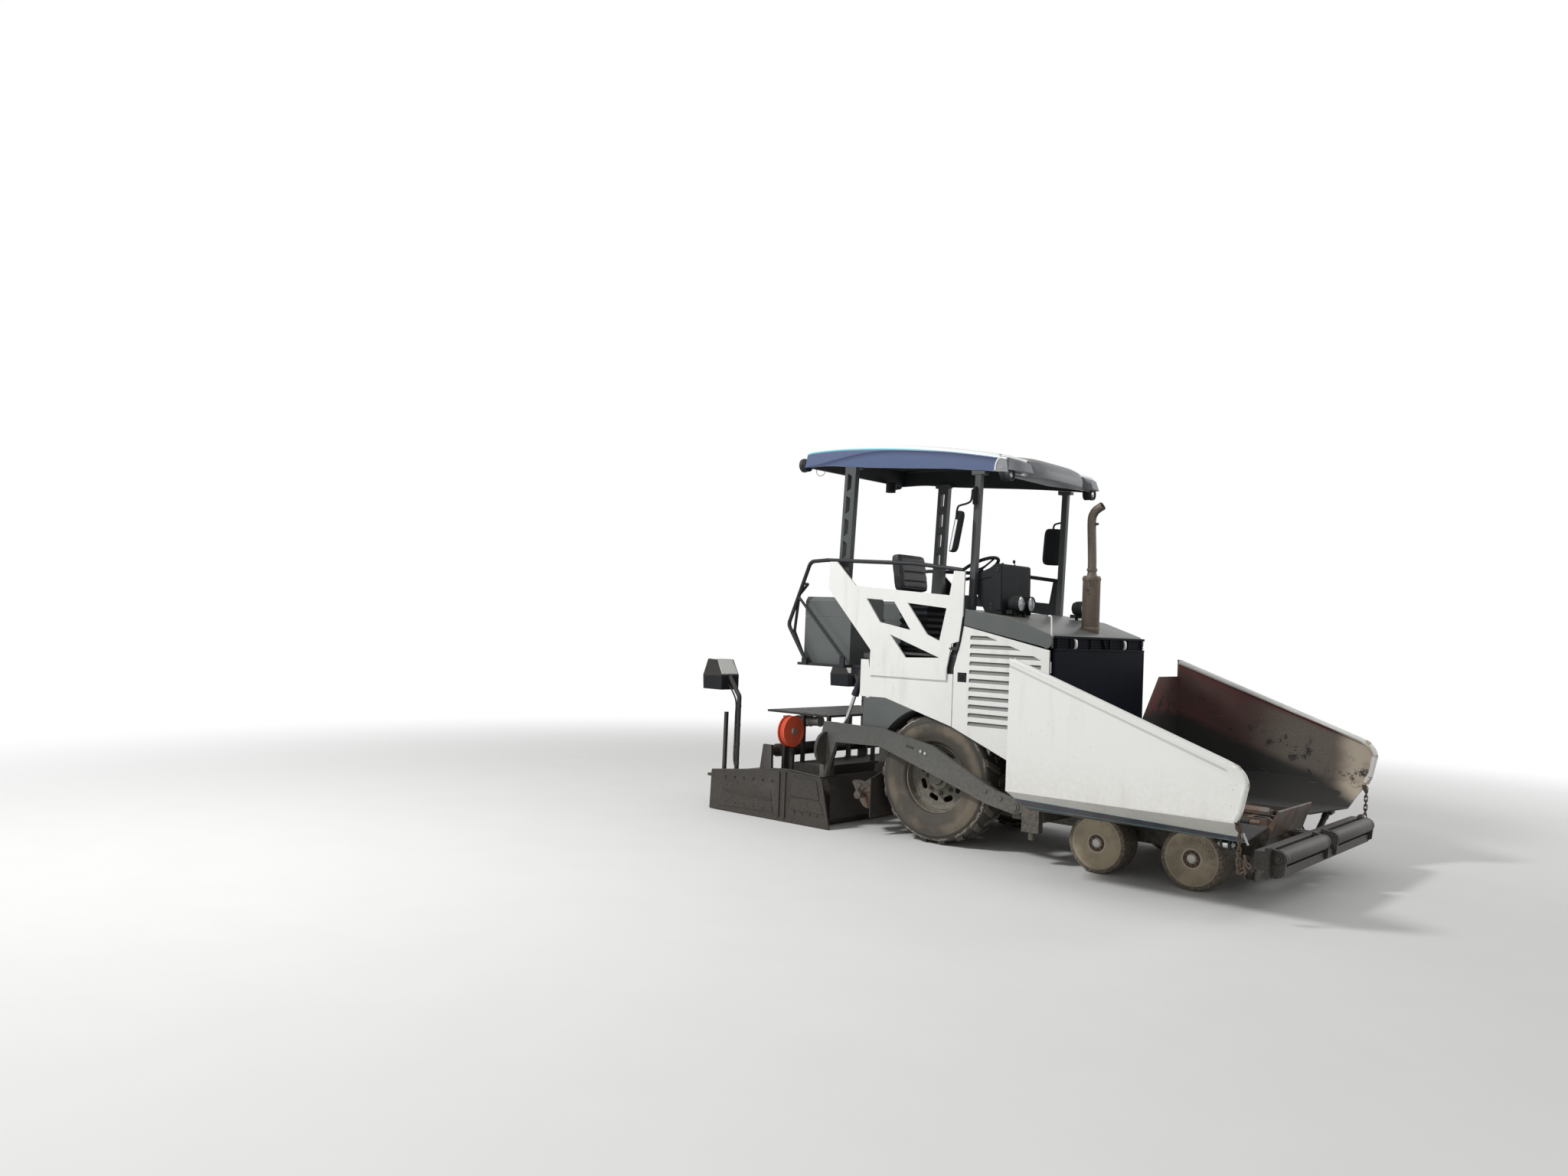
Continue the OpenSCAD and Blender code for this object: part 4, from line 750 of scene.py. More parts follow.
def roof_shell():
    mesh = bmesh.new()
    depth = mesh.loops.layers.uv.new("depth")
    below = {}

    def skin(inset, inside):
        rings = []
        for i in range(STATIONS + 1):
            t = i / STATIONS
            foot = -1.575 + inset + (2.175 - 2 * inset) * t
            head = -1.535 + inset + (2.11 - 2 * inset) * t
            low, high = roof_low(foot), roof_top(head) - inset
            ring = []
            for y, z in section(low, high, ROOF_Y - inset, max(SHOULDER - inset, 0.012)):
                share = (z - low) / (high - low)
                ring.append(mesh.verts.new((foot + (head - foot) * share, y, z)))
                below[ring[-1]] = (t, high - z + inset)
            rings.append(ring)
        for a, b in zip(rings, rings[1:]):
            for k in range(len(a) - 1):
                mesh.faces.new((a[k], b[k], b[k + 1], a[k + 1])).material_index = inside
        for ring in (rings[0], rings[-1]):
            mesh.faces.new(ring).material_index = inside
        return rings

    outer, inner = skin(0.0, 0), skin(SHEET, 1)
    for i in range(STATIONS):
        for k in (0, -1):
            mesh.faces.new((outer[i][k], outer[i + 1][k], inner[i + 1][k], inner[i][k]))
    for i in (0, -1):
        mesh.faces.new((outer[i][0], outer[i][-1], inner[i][-1], inner[i][0]))
    for face in mesh.faces:
        for loop in face.loops:
            loop[depth].uv = below[loop.vert]
    bmesh.ops.recalc_face_normals(mesh, faces=mesh.faces)
    bmesh.ops.translate(mesh, vec=(-AXLE, 0, 0), verts=mesh.verts)
    data = bpy.data.meshes.new("canopy_shell")
    mesh.to_mesh(data)
    mesh.free()
    return data


# %% Canopy paint
roof_paint = Finish("striped roof paint", Metallic=0.0, Coat_Weight=0.35, Coat_Roughness=0.15)
mix = roof_paint.mix
strip_at = roof_paint.node("ShaderNodeUVMap", {"uv_map": "depth"}, {}, "UV")
along, depth = roof_paint.part(strip_at, "X"), roof_paint.part(strip_at, "Y")
white_to = along * -0.01 + 0.033
cyan_to = white_to + 0.013
back = along.ramp(0.6, 0.0)
past_crease = depth - (back * back * 0.115 + cyan_to + 0.009)
# painted highlight and shade: the navy is lighter above the pressed crease and darkest in a band just below it,
# fading downwards, as light falls on the step
navy_with_painted_shade = mix(past_crease.ramp(0.004, -0.004) * 0.5, (0.052, 0.086, 0.188), (0.082, 0.112, 0.205))
navy_with_painted_shade = mix(past_crease.band(-0.003, 0.003, 0.0, 0.055) * 0.8, navy_with_painted_shade, (0.014, 0.024, 0.085))
shade = mix((depth - cyan_to).ramp(-0.0008, 0.0008), (0.18, 0.58, 0.64), navy_with_painted_shade)
shade = mix((depth - white_to).ramp(-0.0008, 0.0008), (0.83, 0.84, 0.83), shade)
front_part = roof_paint.x - (roof_paint.z * 0.22 - 0.2087 - AXLE)
shade = mix(front_part.ramp(-0.001, 0.001) * (depth - 0.02).ramp(-0.001, 0.001), shade, (0.235, 0.245, 0.255))
dirty, layer, fine = soil(roof_paint, shade, dust=0.22, specks=0.15, runs=0.22)
roof_paint.set(Base_Color=dirty, Roughness=(layer * 0.4 + fine * 0.1 + 0.28).at_most_one())
step = past_crease.ramp(0.012, -0.012) * (depth - cyan_to).ramp(0.0, 0.008)
roof_paint.bump(step + fine * 0.02, 0.55, 0.006)
put(place(roof_shell(), "canopy_shell", [roof_paint, black], sharp=38), "tractor", "canopy_blue", "canopy")

# %% [markdown]
# Two grey fairings close the front corners above the lamps, and a raised bare panel bulges forward
# between them. The shell's inner skin is black, and the hollow under it stays open.

# %% Front corners and bulge
plan = mm("505,803 575,803 628,782 668,735 690,660 700,545 505,545")
for name, side in SIDES.items():
    low = [(x, side * y, 3.15 - 0.1 * (x - 0.505)) for x, y in plan]
    high = [(x - 0.03 * (x > 0.55), side * (y - 0.012 * (y > 0.6)), 3.283 - 0.36 * (x - 0.505)) for x, y in plan]
    pod = Forms().skin([low, high])
    pod.piece("canopy_pod_" + name, pod_grey, "canopy_blue", bevel=0.007, segments=3)
    flange = smooth_path(mm("560,772,3258 530,790,3250 500,800,3226 484,801,3185 479,801,3140"), 5)
    Forms(side).tube(flange, 0.0085, 10).piece("canopy_flange_" + name, white, "canopy_blue")

profile = mm("300,3322 440,3318 575,3295 650,3255 700,3205 712,3165 706,3120 640,3112 300,3165")
rings = []
for y, rise in ((-0.44, 0.0), (-0.405, 0.55), (-0.34, 0.88), (-0.2, 0.98), (0.0, 1.0), (0.2, 0.98), (0.34, 0.88),
                (0.405, 0.55), (0.44, 0.0)):
    feet = [(min(x, 0.6), min(z, roof_top(min(x, 0.575)) - 0.004)) for x, z in profile]
    rings.append([(a + (x - a) * rise, y, b + (z - b) * rise) for (x, z), (a, b) in zip(profile, feet)])
Forms().skin(rings).piece("canopy_bulge", pod_grey, "canopy_blue", bevel=0.006, segments=3, sharp=50)

loop = mm("-1460,-760,3285 -1462,-760,3235 -1435,-760,3205 -1400,-760,3202 -1368,-760,3225 -1362,-760,3285")
Forms().tube(smooth_path(loop), 0.0028, 8).piece("canopy_wire_loop", hose_rubber, "dark_paint")

# %% [markdown]
# Each lamp under the roof is a round rubber ring with a ribbed back and a pale lens.

# %% Canopy lamps
# profiles of (share of the lamp's radius, distance outward)
RING = mm("800,-30 1060,-26 1100,-6 1060,6 920,6 860,-4 800,-10")
LENS = mm("0,-12 840,-12 840,-6 450,1 0,3")
rings, lenses = Forms(), Forms()
for side in SIDES.values():
    for x, y, z, r, way in ((0.6, 0.745, 3.108, 0.05, 1), (-1.64, 0.74, 3.314, 0.06, -1)):
        rings.turned([(r * a, d) for a, d in RING], (x, side * y, z), "x", 40, way)
        lenses.turned([(r * a, d) for a, d in LENS], (x, side * y, z), "x", 36, way)
rings.piece("canopy_lamp_rings", hose_rubber, "black_plastic", sharp=40)
lenses.piece("canopy_lamp_glass", glass, "black_plastic", sharp=40)

# %% [markdown]
# ## The engine doors
# The doors' slots are pressed inwards: behind each gap a blade slopes up and in, under the white bar above it.
# The blades are painted grey, a painted shade for the shadow of that bar. Each door has a square black lock,
# and a rubber strap holds the deck panel.

# %% Doors, blades, locks and straps
LOUVRES, LOUVRE_STEP, LOUVRE_HALF = 11, 0.0708, 0.0165


def slope_at(z):
    """Where the doors' sloping upper edge, 70 mm in, is at this height; the louvres end 0.990 ahead at most."""
    return min(0.99, 0.47 + (1.776 - z) / 0.3314)


for name, side in SIDES.items():
    body = "door_" + name
    gaps = [mm("224,1380 311,1380 311,1459 224,1459")]
    blades = Forms(side)
    for i in range(LOUVRES):
        low, high = (1.752 - i * LOUVRE_STEP + way * LOUVRE_HALF for way in (-1, 1))
        foot, top = slope_at(low), slope_at(high)
        gaps.append([(0.335, low), (foot, low), (top, high), (0.341, high), (0.335, high - 0.008)])
        blade = [(0.858, low - 0.001), (0.838, high + 0.0005), (0.838, high + 0.01), (0.836, high + 0.01),
                 (0.836, high - 0.0015), (0.856, low - 0.003)]
        blades.prism(blade, "x", 0.334, foot + 0.001)
    edge = mm("185,1001 185,1490 245,1712 268,1846 1060,1679 1060,636 726,775")
    door = Forms(side).sheet(edge, gaps, 0.842, 0.86)
    for z in (0.76, 1.1, 1.5):
        door.rod((1.06, 0.838, z), (1.06, 0.838, z + 0.09), 0.01)
    door.piece("door_sheet_" + name, white, "body_white", body, body=body, bevel=0.0025, sharp=30)
    blades.piece("louvre_blades_" + name, painted_shade_grey, "body_white", body=body)
    lock = Forms(side).prism(mm("228,1384 307,1384 307,1455 228,1455"), "y", 0.849, 0.8575)
    lock.turned(mm("0,0 16,0 16,4 0,6"), (0.262, 0.8575, 1.42), "y", 24)
    lock.box((0.252, 0.8575, 1.405), (0.259, 0.866, 1.435))
    lock.piece("door_lock_" + name, plastic, "black_plastic", body=body, bevel=0.003)
    band = mm("128,1640 220.5,1640 239.5,1712 262,1846 264,1930 252,1930 244,1846 216,1722 206,1668.5 128,1668.5")
    pad = mm("118,1385 190,1385 190,1490 252,1712 274,1860 264,1985 240,1985 222,1722 160,1705 116,1488")
    strap = Forms(side).prism(band, "y", 0.85, 0.874).prism(pad, "y", 0.838, 0.8415)
    strap.rod((0.15, 0.874, 1.654), (0.15, 0.879, 1.654), 0.008)
    strap.piece("panel_strap_" + name, hose_rubber, "black_plastic", bevel=0.003)

# %% Hood with rounded cheeks
outer = mm("264,1853 274,1987 700,1930 1040,1812 1062,1796 1078,1775 1078,1700")
inner = [(x - 0.008, z - 0.0045) for x, z in reversed(outer[2:])] + mm("282.2,1977.5 272,1853")
hood = Forms().prism(outer + inner, "y", -0.852, 0.852)
CORNER, CORNER_AT = 0.052, 1.743
turn = [math.radians(14 * k) for k in range(1, 7)]
turn = [(1.078 - CORNER + CORNER * math.cos(a), CORNER_AT - CORNER * math.sin(a)) for a in turn]
for y in (-0.86, 0.852):
    hood.prism(outer[:6] + [(1.078, CORNER_AT)] + turn + mm("1000,1705.5"), "y", y, y + 0.008)
hood.piece("hood_shell", hood_grey, "body_grey", "hood", bevel=0.0035, segments=3, sharp=28)

# %% Front wall with its vent band
low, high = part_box("front_wall")
x0, x1, half = low[0] + AXLE, high[0] + AXLE, high[1]
arch = [(-half, 0.56), *mm("-400,560 -400,700 400,700 400,560"), (half, 0.56), (half, 1.675), (-half, 1.675)]
wall = Forms().prism(arch, "x", x0, x1 - 0.002)
# painted shade: this thin black plate closes the back of the vent band and stands for the dark inside of the vent
vent = Forms().box((x0, -half, 1.69), (x0 + 0.002, half, 1.78))
for z in (1.675, 1.775):
    wall.box((x0, -half, z + 0.0005), (x1, half, z + 0.0215))
for z in (1.712, 1.735, 1.758):
    vent.box((x0 + 0.002, -half, z - 0.0025), (x1 - 0.008, half, z + 0.0025))
for y in (-0.79, -0.56, -0.2, 0.16, 0.52, 0.79):
    vent.box((x0 + 0.001, y - 0.01, 1.69), (x1 - 0.006, y + 0.01, 1.78))
vent.tube([(x1 - 0.012, 0.06, 1.697), (x1 - 0.01, 0.03, 1.735), (x1 - 0.012, 0.02, 1.776)], 0.011, 12)
wall.piece("front_wall_sheet", wall_black, "dark_paint", "front_wall", bevel=0.003)
vent.piece("front_wall_vent", wall_black, "dark_paint")

# %% [markdown]
# ## The driver's place
# The console is one moulded housing: a shelf that slopes up from the driver, a rounded nose and a flat
# front. Its side is drawn in below a soft crease. The seat is stuffed vinyl and follows further on.

# %% Console, column and levers
console = Forms(-1)
console.prism(mm("388,1972 298,2136 254,2184 246,2200 246,2246 256,2264 294,2289 416,2336 488,2374 500,2377 "
                 "526,2374 538,2362 542,2285 548,1952"), "y", 0.256, 0.7365)
cheek = mm("490,1985 480,2190 445,2262 350,2243 256,2214 252,2246 260,2262 296,2285 418,2332 490,2370 "
           "524,2370 534,2360 538,2285 544,1985")
console.prism(cheek, "y", 0.734, 0.744).prism(cheek, "y", 0.25, 0.259)
console.piece("console_housing", plastic, "black_plastic", "console", bevel=0.012, segments=4, sharp=30)
trim = Forms(-1).turned(mm("0,0 19,0 19,5 15,6 13,2 0,2"), (0.5, 0.744, 2.322), "y", 28)
trim.turned(mm("0,0 11,0 11,4 0,6"), (0.445, 0.7365, 2.03), "y", 20)
trim.box((0.436, 0.7365, 1.992), (0.456, 0.7385, 2.05)).piece("console_cap", black, "black_plastic", bevel=0.0015)

column = Forms()
column.tube(mm("262,-500,2187.3 236,-500,2232.3 190,-500,2311.5"), [0.0245, 0.0245, 0.018], 24)
column.tube(mm("285,-500,2147 281,-500,2155 276,-500,2163 272,-500,2170 267,-500,2178 262,-500,2187 257,-500,2196"),
            [0.052, 0.044, 0.05, 0.038, 0.043, 0.031, 0.034], 24)
for x, y in mm("330,-320 350,-370 420,-300"):
    z = 2.289 + (x - 0.294) * 0.385
    column.turned(mm("0,-6 20,-6 16,8 7,16 0,16"), (x, y, z), "z", 20)
    column.tube(smooth_path([(x, y, z), (x - 0.006, y, z + 0.035), (x - 0.018, y, z + 0.07)], 4), 0.005, 10)
    column.turned(mm("0,-16 10,-11 13,0 10,11 0,16"), (x - 0.02, y, z + 0.08), "z", 20)
column.piece("steering_column", plastic, "black_plastic", sharp=45)

# %% Steering wheel
tilt = Matrix.Rotation(math.radians(-30), 4, "Y")
RIM_POINTS, SPOKES = 64, 3


def on_wheel(r, a, h):
    return Vector((0.19, -0.5, 2.312)) + tilt @ Vector((r * math.cos(a), r * math.sin(a), h))


rim_at = [on_wheel(0.185, math.tau * k / RIM_POINTS, 0.04) for k in range(RIM_POINTS)]
wheel = Forms().tube(rim_at, [0.0142 + 0.0007 * (k % 2) for k in range(RIM_POINTS)], 16, closed=True)
for k in range(SPOKES):
    spoke = [on_wheel(r, math.tau * k / SPOKES, h) for r, h in mm("20,24 70,25 130,32 180,39")]
    wheel.tube(spoke, [0.013, 0.009, 0.0075, 0.009], 12)
wheel.tube([on_wheel(0.0, 0, h) for h in (0.001, 0.006, 0.03, 0.036)], [0.028, 0.034, 0.034, 0.026], 32)
wheel.piece("steering_wheel_rim", plastic, "black_plastic", "steering_wheel", body="steering_wheel", sharp=40)

# %% [markdown]
# ## Lamps, mirrors and exhaust
# The round lamps on the hood are turned housings with a glass in front. A mirror is a moulded shell with
# rounded corners, and the exhaust is a welded can with a bent pipe that is open at its end.

# %% Hood lamps
lamps, lenses = Forms(), Forms()
housing = mm("0,0 36,0 53,10 62.5,34 64,50 65,58 65,74 64,76 65,78 65,108.5 63.5,110 60,110 57,103 0,98")
LAMP_Z, CROSS, LINE = 2.048, 0.048, 0.002
for side in SIDES.values():
    for y in (side * 0.648, side * 0.479):
        lamps.turned(housing, (0.575, y, LAMP_Z), "x", 48)
        lenses.turned(mm("0,6 26,4.5 56,0 56.5,-4 0,-4"), (0.679, y, LAMP_Z), "x", 40)
        for a, b in ((LINE, CROSS + LINE), (CROSS + LINE, LINE)):
            lenses.box((0.6835, y - a, LAMP_Z - b), (0.6848, y + a, LAMP_Z + b))
        lamps.rod((0.61, y, 1.93), (0.61, y, 1.99), 0.0145)
        lamps.head(0.024, 0.006, (0.61, y, 1.989), axis="z", outward=-1)
    low, high = sorted((side * 0.725, side * 0.405))
    lamps.box((0.582, low, 1.984), (0.638, high, 1.991))
    for y in (low + 0.002, high - 0.008):
        lamps.box((0.582, y, 1.9605), (0.638, y + 0.006, 1.99))
    lamps.box((0.582, low, 1.9605), (0.588, high, 1.99))
lamps.piece("hood_lamp_housings", plastic, "black_plastic", "hood_lamps", bevel=0.001, segments=1, sharp=40)
lenses.piece("hood_lamp_glass", glass, "black_plastic", sharp=40)


# %% Mirrors
def pad(where, layers, steps=48):
    """Rings of a rounded plate: each layer is half its width, half its height and how deep it lies."""
    rings = []
    for w, h, d in layers:
        squared = [(math.copysign(abs(c) ** 0.42, c), math.copysign(abs(s) ** 0.3, s)) for c, s in circle(steps)]
        rings.append([where @ Vector((w * a, d, h * b)) for a, b in squared])
    return rings


for name, side in SIDES.items():
    where = Matrix.Translation((0.165, side * 0.85, 2.635)) @ Matrix.Diagonal((1, -side, 1, 1))
    where = where @ Matrix.Rotation(math.radians(-49), 4, "Z") @ Matrix.Rotation(math.radians(-9), 4, "X")
    layers = mm("84,164,-24 92,172,-28.5 94.5,174.5,-22 94.5,174.5,4 90,170,18 72,152,27.5 40,110,29.8")
    body = Forms().skin(pad(where, layers))
    body.side = side
    arm = mm("300,850,2985 296,850,2925 285,850,2888 245,850,2869 190,850,2858 165,850,2845 154,850,2805 "
             "150,850,2740")
    body.tube(smooth_path(arm, 5), 0.0088, 14)
    ends = sorted((0.85, 0.7955), key=lambda y: side * y)
    body.tube([(0.3, y, 2.98) for y in ends], 0.0088, 14)
    body.turned(mm("0,-75 16,-75 18,-70 18,70 16,75 0,75"), (0.3, 0.81, 2.94), "z", 20)
    body.piece("mirror_body_" + name, plastic, "black_plastic", "mirrors", sharp=40)
    face = Forms().skin(pad(where, mm("83,163,-22.5 83,163,-25.5")))
    face.piece("mirror_glass_" + name, mirror_glass, "black_plastic")

# %% Exhaust and handles
PIPE = (0.93, 0.1)        # where the can's axis stands
pipe = Forms()
pipe.turned(mm("0,1812 70,1812 74.5,1818 74.5,2296 75.5,2300 74.5,2304 74,2312 69,2319.5 44,2320 41,2332 37.5,2350 "
               "0,2350"), (*PIPE, 0.0), "z", 56)
for z in (1.87, 2.292):
    pipe.turned(mm("74,-12 78.5,-11 79,0 78.5,11 74,12"), (*PIPE, z), "z", 48)
    pipe.box((0.925, 0.0215, z - 0.01), (0.947, 0.0275, z + 0.01))
pipe.turned(mm("36.5,-12 43.5,-12 43.5,12 36.5,12"), (*PIPE, 2.372), "z", 36)
pipe.rod((0.915, 0.058, 2.372), (0.945, 0.058, 2.372), 0.006)
pipe.rod((0.955, 0.1, 2.765), (0.975, 0.1, 2.768), 0.011)
bend = mm("930,100,2330 928,100,2460 922,100,2590 915,100,2720 913.5,100,2765")
for degrees in range(0, 61, 5):
    a = math.radians(degrees)
    bend.append((1.0285 - 0.115 * math.cos(a), 0.1, 2.8 + 0.115 * math.sin(a)))
bend.append((1.01, 0.1, 2.922))
pipe.tube(bend, 0.0368, 32, bore=0.0335, deep=0.06)
pipe.piece("exhaust_can", soot, "exhaust_rust", "exhaust", sharp=40)

brackets = Forms()
strip = smooth_path(mm("1094,0,1692 1108,0,1706 1112.5,0,1735 1108,0,1764 1094,0,1778"), 4)
strip = [(v.x, v.z) for v in strip] + [(v.x - 0.012, v.z) for v in reversed(strip)]
for y in (-0.5, 0.42):
    brackets.prism(strip, "y", y - 0.016, y + 0.016)
brackets.tube(mm("1062,-836,1790 1060,-836,1870 1056,-836,1945"), 0.007, 14)
brackets.tube(smooth_path(mm("1056,-836,1940 1046,-836,1952 1030,-836,1950"), 4), 0.007, 12)
brackets.piece("hood_brackets", white, "body_white", bevel=0.001, segments=1)

# %% [markdown]
# ## The seat
# Cushion and back are foam under vinyl. Each starts as a crowned form, a little smaller than it ends, is
# remeshed and blown up by the cloth solver with its movement capped, and then gets its sewn channels.

# %% Padding
FRAMES = 20                 # of the cloth solver, long enough for the pads to fill


def crowned(name, size, crown, steps=14):
    """A soft block round its own middle, fuller in the middle of each face and drawn in at its corners."""
    mesh = bmesh.new()
    bmesh.ops.create_cube(mesh, size=2.0)
    bmesh.ops.subdivide_edges(mesh, edges=mesh.edges, cuts=steps, use_grid_fill=True)
    half = Vector(size) / 2
    for v in mesh.verts:
        a, b, c = v.co
        corner = (abs(a) ** 6 + abs(b) ** 6) / 2
        round_off = 1 - 0.055 * (a * a * b * b) ** 2 - 0.02 * c * c
        fuller = crown * (1 - a * a) * (1 - b * b) * (c > 0.5)
        v.co = (a * half.x * round_off, b * half.y * round_off, c * half.z * (1 - 0.28 * corner) + fuller)
    data = bpy.data.meshes.new(name)
    mesh.to_mesh(data)
    mesh.free()
    return data


def settle(made, kind, **settings):
    """Adds one modifier and applies it at once."""
    modifier = made.modifiers.new(kind.lower(), kind)
    for key, value in settings.items():
        setattr(modifier, key, value)
    data = as_seen(made)
    made.modifiers.clear()
    made.data = data


def inflated(made, cap):
    """Blows the piece up like a stuffed pad; no point moves further than cap metres."""
    settle(made, "REMESH", mode="VOXEL", voxel_size=0.006)
    cloth = made.modifiers.new("cloth", "CLOTH")
    cloth.settings.use_pressure = True
    cloth.settings.uniform_pressure_force = 4.0
    cloth.settings.effector_weights.gravity = 0.0
    cloth.settings.quality = 5
    cloth.collision_settings.use_collision = False
    cloth.point_cache.frame_start, cloth.point_cache.frame_end = 1, FRAMES
    for frame_now in range(1, FRAMES + 1):
        bpy.context.scene.frame_set(frame_now)
    blown = made.evaluated_get(bpy.context.evaluated_depsgraph_get()).data
    moves = [v.co - start.co for v, start in zip(blown.vertices, made.data.vertices)]
    made.modifiers.remove(cloth)
    bpy.context.scene.frame_set(1)
    for v, by in zip(made.data.vertices, moves):
        v.co = v.co + by * min(1.0, cap / max(by.length, 1e-9))
    settle(made, "SMOOTH", factor=0.5, iterations=4)
    settle(made, "SUBSURF", levels=1)


def dent(distance, width):
    """A smooth groove: 1 on its line, and next to nothing a few widths away."""
    return math.exp(-(distance / width) ** 2)


def seat_pad(name, size, crown, where, seams, cap=0.01):
    made = place(crowned(name, size, crown), name, [vinyl], sharp=60)
    inflated(made, cap)
    long, wide, high = size
    for v in made.data.vertices:
        x, y, z = v.co
        if z > 0:
            ends = max(0.0, 1 - (y / (wide * 0.4)) ** 8)
            channel = max(dent(x - s, 0.006) for s in seams) * 0.009 * ends
            edge = max(abs(x) / (long * 0.4), abs(y) / (wide * 0.41))
            v.co.z -= max(channel, 0.006 * dent(edge - 1, 0.02))
        side_seam = 0.004 * dent(z - high * 0.12, 0.004)
        v.co.x -= math.copysign(side_seam, x) * (abs(x) > long * 0.44)
        v.co.y -= math.copysign(side_seam, y) * (abs(y) > wide * 0.44)
    made.data.transform(Matrix.Translation((-AXLE, 0, 0)) @ where)
    made.data.update()
    made.data.shade_smooth()
    made.data.materials.clear()
    made.data.materials.append(vinyl.material)
    put(made, "tractor", "seat_cover", "seat")


lying = Matrix.Translation((-0.375, -0.45, 2.068))
leaning = Matrix.Translation((-0.577, -0.45, 2.306)) @ Matrix.Rotation(math.radians(80.2), 4, "Y")
seat_pad("seat_cushion", (0.465, 0.475, 0.078), 0.012, lying, (-0.105, 0.0, 0.105))
seat_pad("seat_back", (0.35, 0.455, 0.08), 0.01, leaning, (-0.085, 0.0, 0.085))


def seat_ring(r, z):
    """A rectangle round the seat's middle."""
    return [(-0.4 + a * r, -0.45 + b * (r + 0.03), z) for a, b in ((-1, -1), (1, -1), (1, 1), (-1, 1))]


FOLDS, FOLD_STEP = 7, 0.055
base = Forms()
folds = []
for k in range(FOLDS):
    z = 1.99 - k * FOLD_STEP
    folds += [seat_ring(0.15, z), seat_ring(0.132, z - 0.027)]
for upper, lower in zip(folds, folds[1:]):
    base.skin([upper, lower])
for low, high in ((1.99, 2.02), (1.602, 1.634)):
    base.box((-0.558, -0.638, low), (-0.242, -0.262, high))
base.piece("seat_base", plastic, "black_plastic", "seat", bevel=0.003)

# %% [markdown]
# ## The hopper wings
# One sheet has four looks: white paint outside, a grey strip and a dark blue stripe with light blue lines
# on the slanted underside, and inside the red primer that hot mix has worn to brown steel and tar. Where
# each one lies follows from how far out and how high a point of the wing is.

# %% Wing paint
wing_paint = Finish("wing paint", Metallic=0.0, Coat_Weight=0.15)
mix, noise = wing_paint.mix, wing_paint.noise
LIGHT_BLUE = (0.2, 0.56, 0.64)
out = wing_paint.y.math("ABSOLUTE")
ahead = wing_paint.x + AXLE
outer = out.ramp(1.5632, 1.5648)
under = (wing_paint.z - (out * 0.4766 - 0.1018)).ramp(0.0085, 0.0045) * out.ramp(1.19, 1.2)
past_grey = out - (1.514 - ahead * 0.078)
past_blue = out - (1.315 - ahead * 0.04)
shade = mix(past_blue.ramp(-0.001, 0.001), (0.02, 0.021, 0.023), LIGHT_BLUE)
shade = mix(past_blue.ramp(0.009, 0.011), shade, (0.022, 0.034, 0.078))
shade = mix(past_grey.ramp(-0.001, 0.001), shade, LIGHT_BLUE)
shade = mix(past_grey.ramp(0.008, 0.01), shade, (0.8, 0.8, 0.76))
shade = mix(outer, shade, (0.8, 0.8, 0.77))
# painted shadow: a soft grey line on the white side just under the rim stands for the rim's shade
under_rim = wing_paint.z + ahead * 0.3665 - 1.9735
line = outer * under_rim.ramp(-0.016, -0.004) * under_rim.ramp(0.01, 0.002) * ahead.ramp(2.74, 2.7)
shade = mix(line * 0.6, shade, (0.38, 0.38, 0.36))
painted_shade, layer, fine = soil(wing_paint, shade, dust=0.34, specks=0.75, runs=0.26)
patches = noise(1.6, 4, (0.8, 1, 1.2), 0.5)
grit = noise(70, 4, rough=0.7)
blotch = noise(6.5, 6, rough=0.72)
primer = mix(patches.ramp(0.36, 0.62), (0.135, 0.042, 0.04), (0.085, 0.045, 0.038))
bare = mix(grit.ramp(0.3, 0.7), (0.165, 0.14, 0.115), (0.11, 0.092, 0.076))
inside = mix((ahead + patches * 0.5).ramp(1.95, 2.35), primer, bare)
inside = mix((ahead + patches * 0.2 + blotch * 0.1).ramp(2.62, 2.82), inside, (0.52, 0.45, 0.36))
slope = wing_paint.z + ahead * 0.36
high_red = (slope + patches * 0.1).ramp(1.96, 2.03) * (ahead + patches * 0.2).ramp(2.66, 2.5)
inside = mix(high_red * 0.8, inside, (0.15, 0.04, 0.038))
tar_line = (slope + patches * 0.12 + grit * 0.03).ramp(1.66, 1.56)
blots = (blotch + grit * 0.2).ramp(0.64, 0.72) * (slope + patches * 0.1).ramp(1.92, 1.76)
inside = mix((tar_line + blots).at_most_one(), inside, (0.017, 0.016, 0.015))
scratched = noise(46, 5, (0.12, 1, 1), 0.6).ramp(0.64, 0.74) * 0.25
inside = mix(scratched, inside, (0.3, 0.28, 0.26))
show = (outer + under).at_most_one()
wing_paint.set(Base_Color=mix(show, inside, painted_shade))
wing_paint.set(Roughness=(layer * 0.4 + fine * 0.12 + (1 - show) * (grit * 0.2 + 0.16) + 0.32).at_most_one())
wing_paint.bump(patches * 0.5 + grit * 0.5 * (1 - show) + fine * 0.1, 0.25, 0.003)

# %% Rims, chains and latches of the wings
RIM_Y, CHAIN_Y = 1.5508, 1.498


def oval(half):
    """The outline of a chain link in x and z: two half rings with straight sides between them."""
    turns = [math.tau * k / 16 + 0.01 for k in range(16)]
    return [(0.0115 * math.cos(a), math.copysign(half, math.sin(a)) + 0.0115 * math.sin(a)) for a in turns]


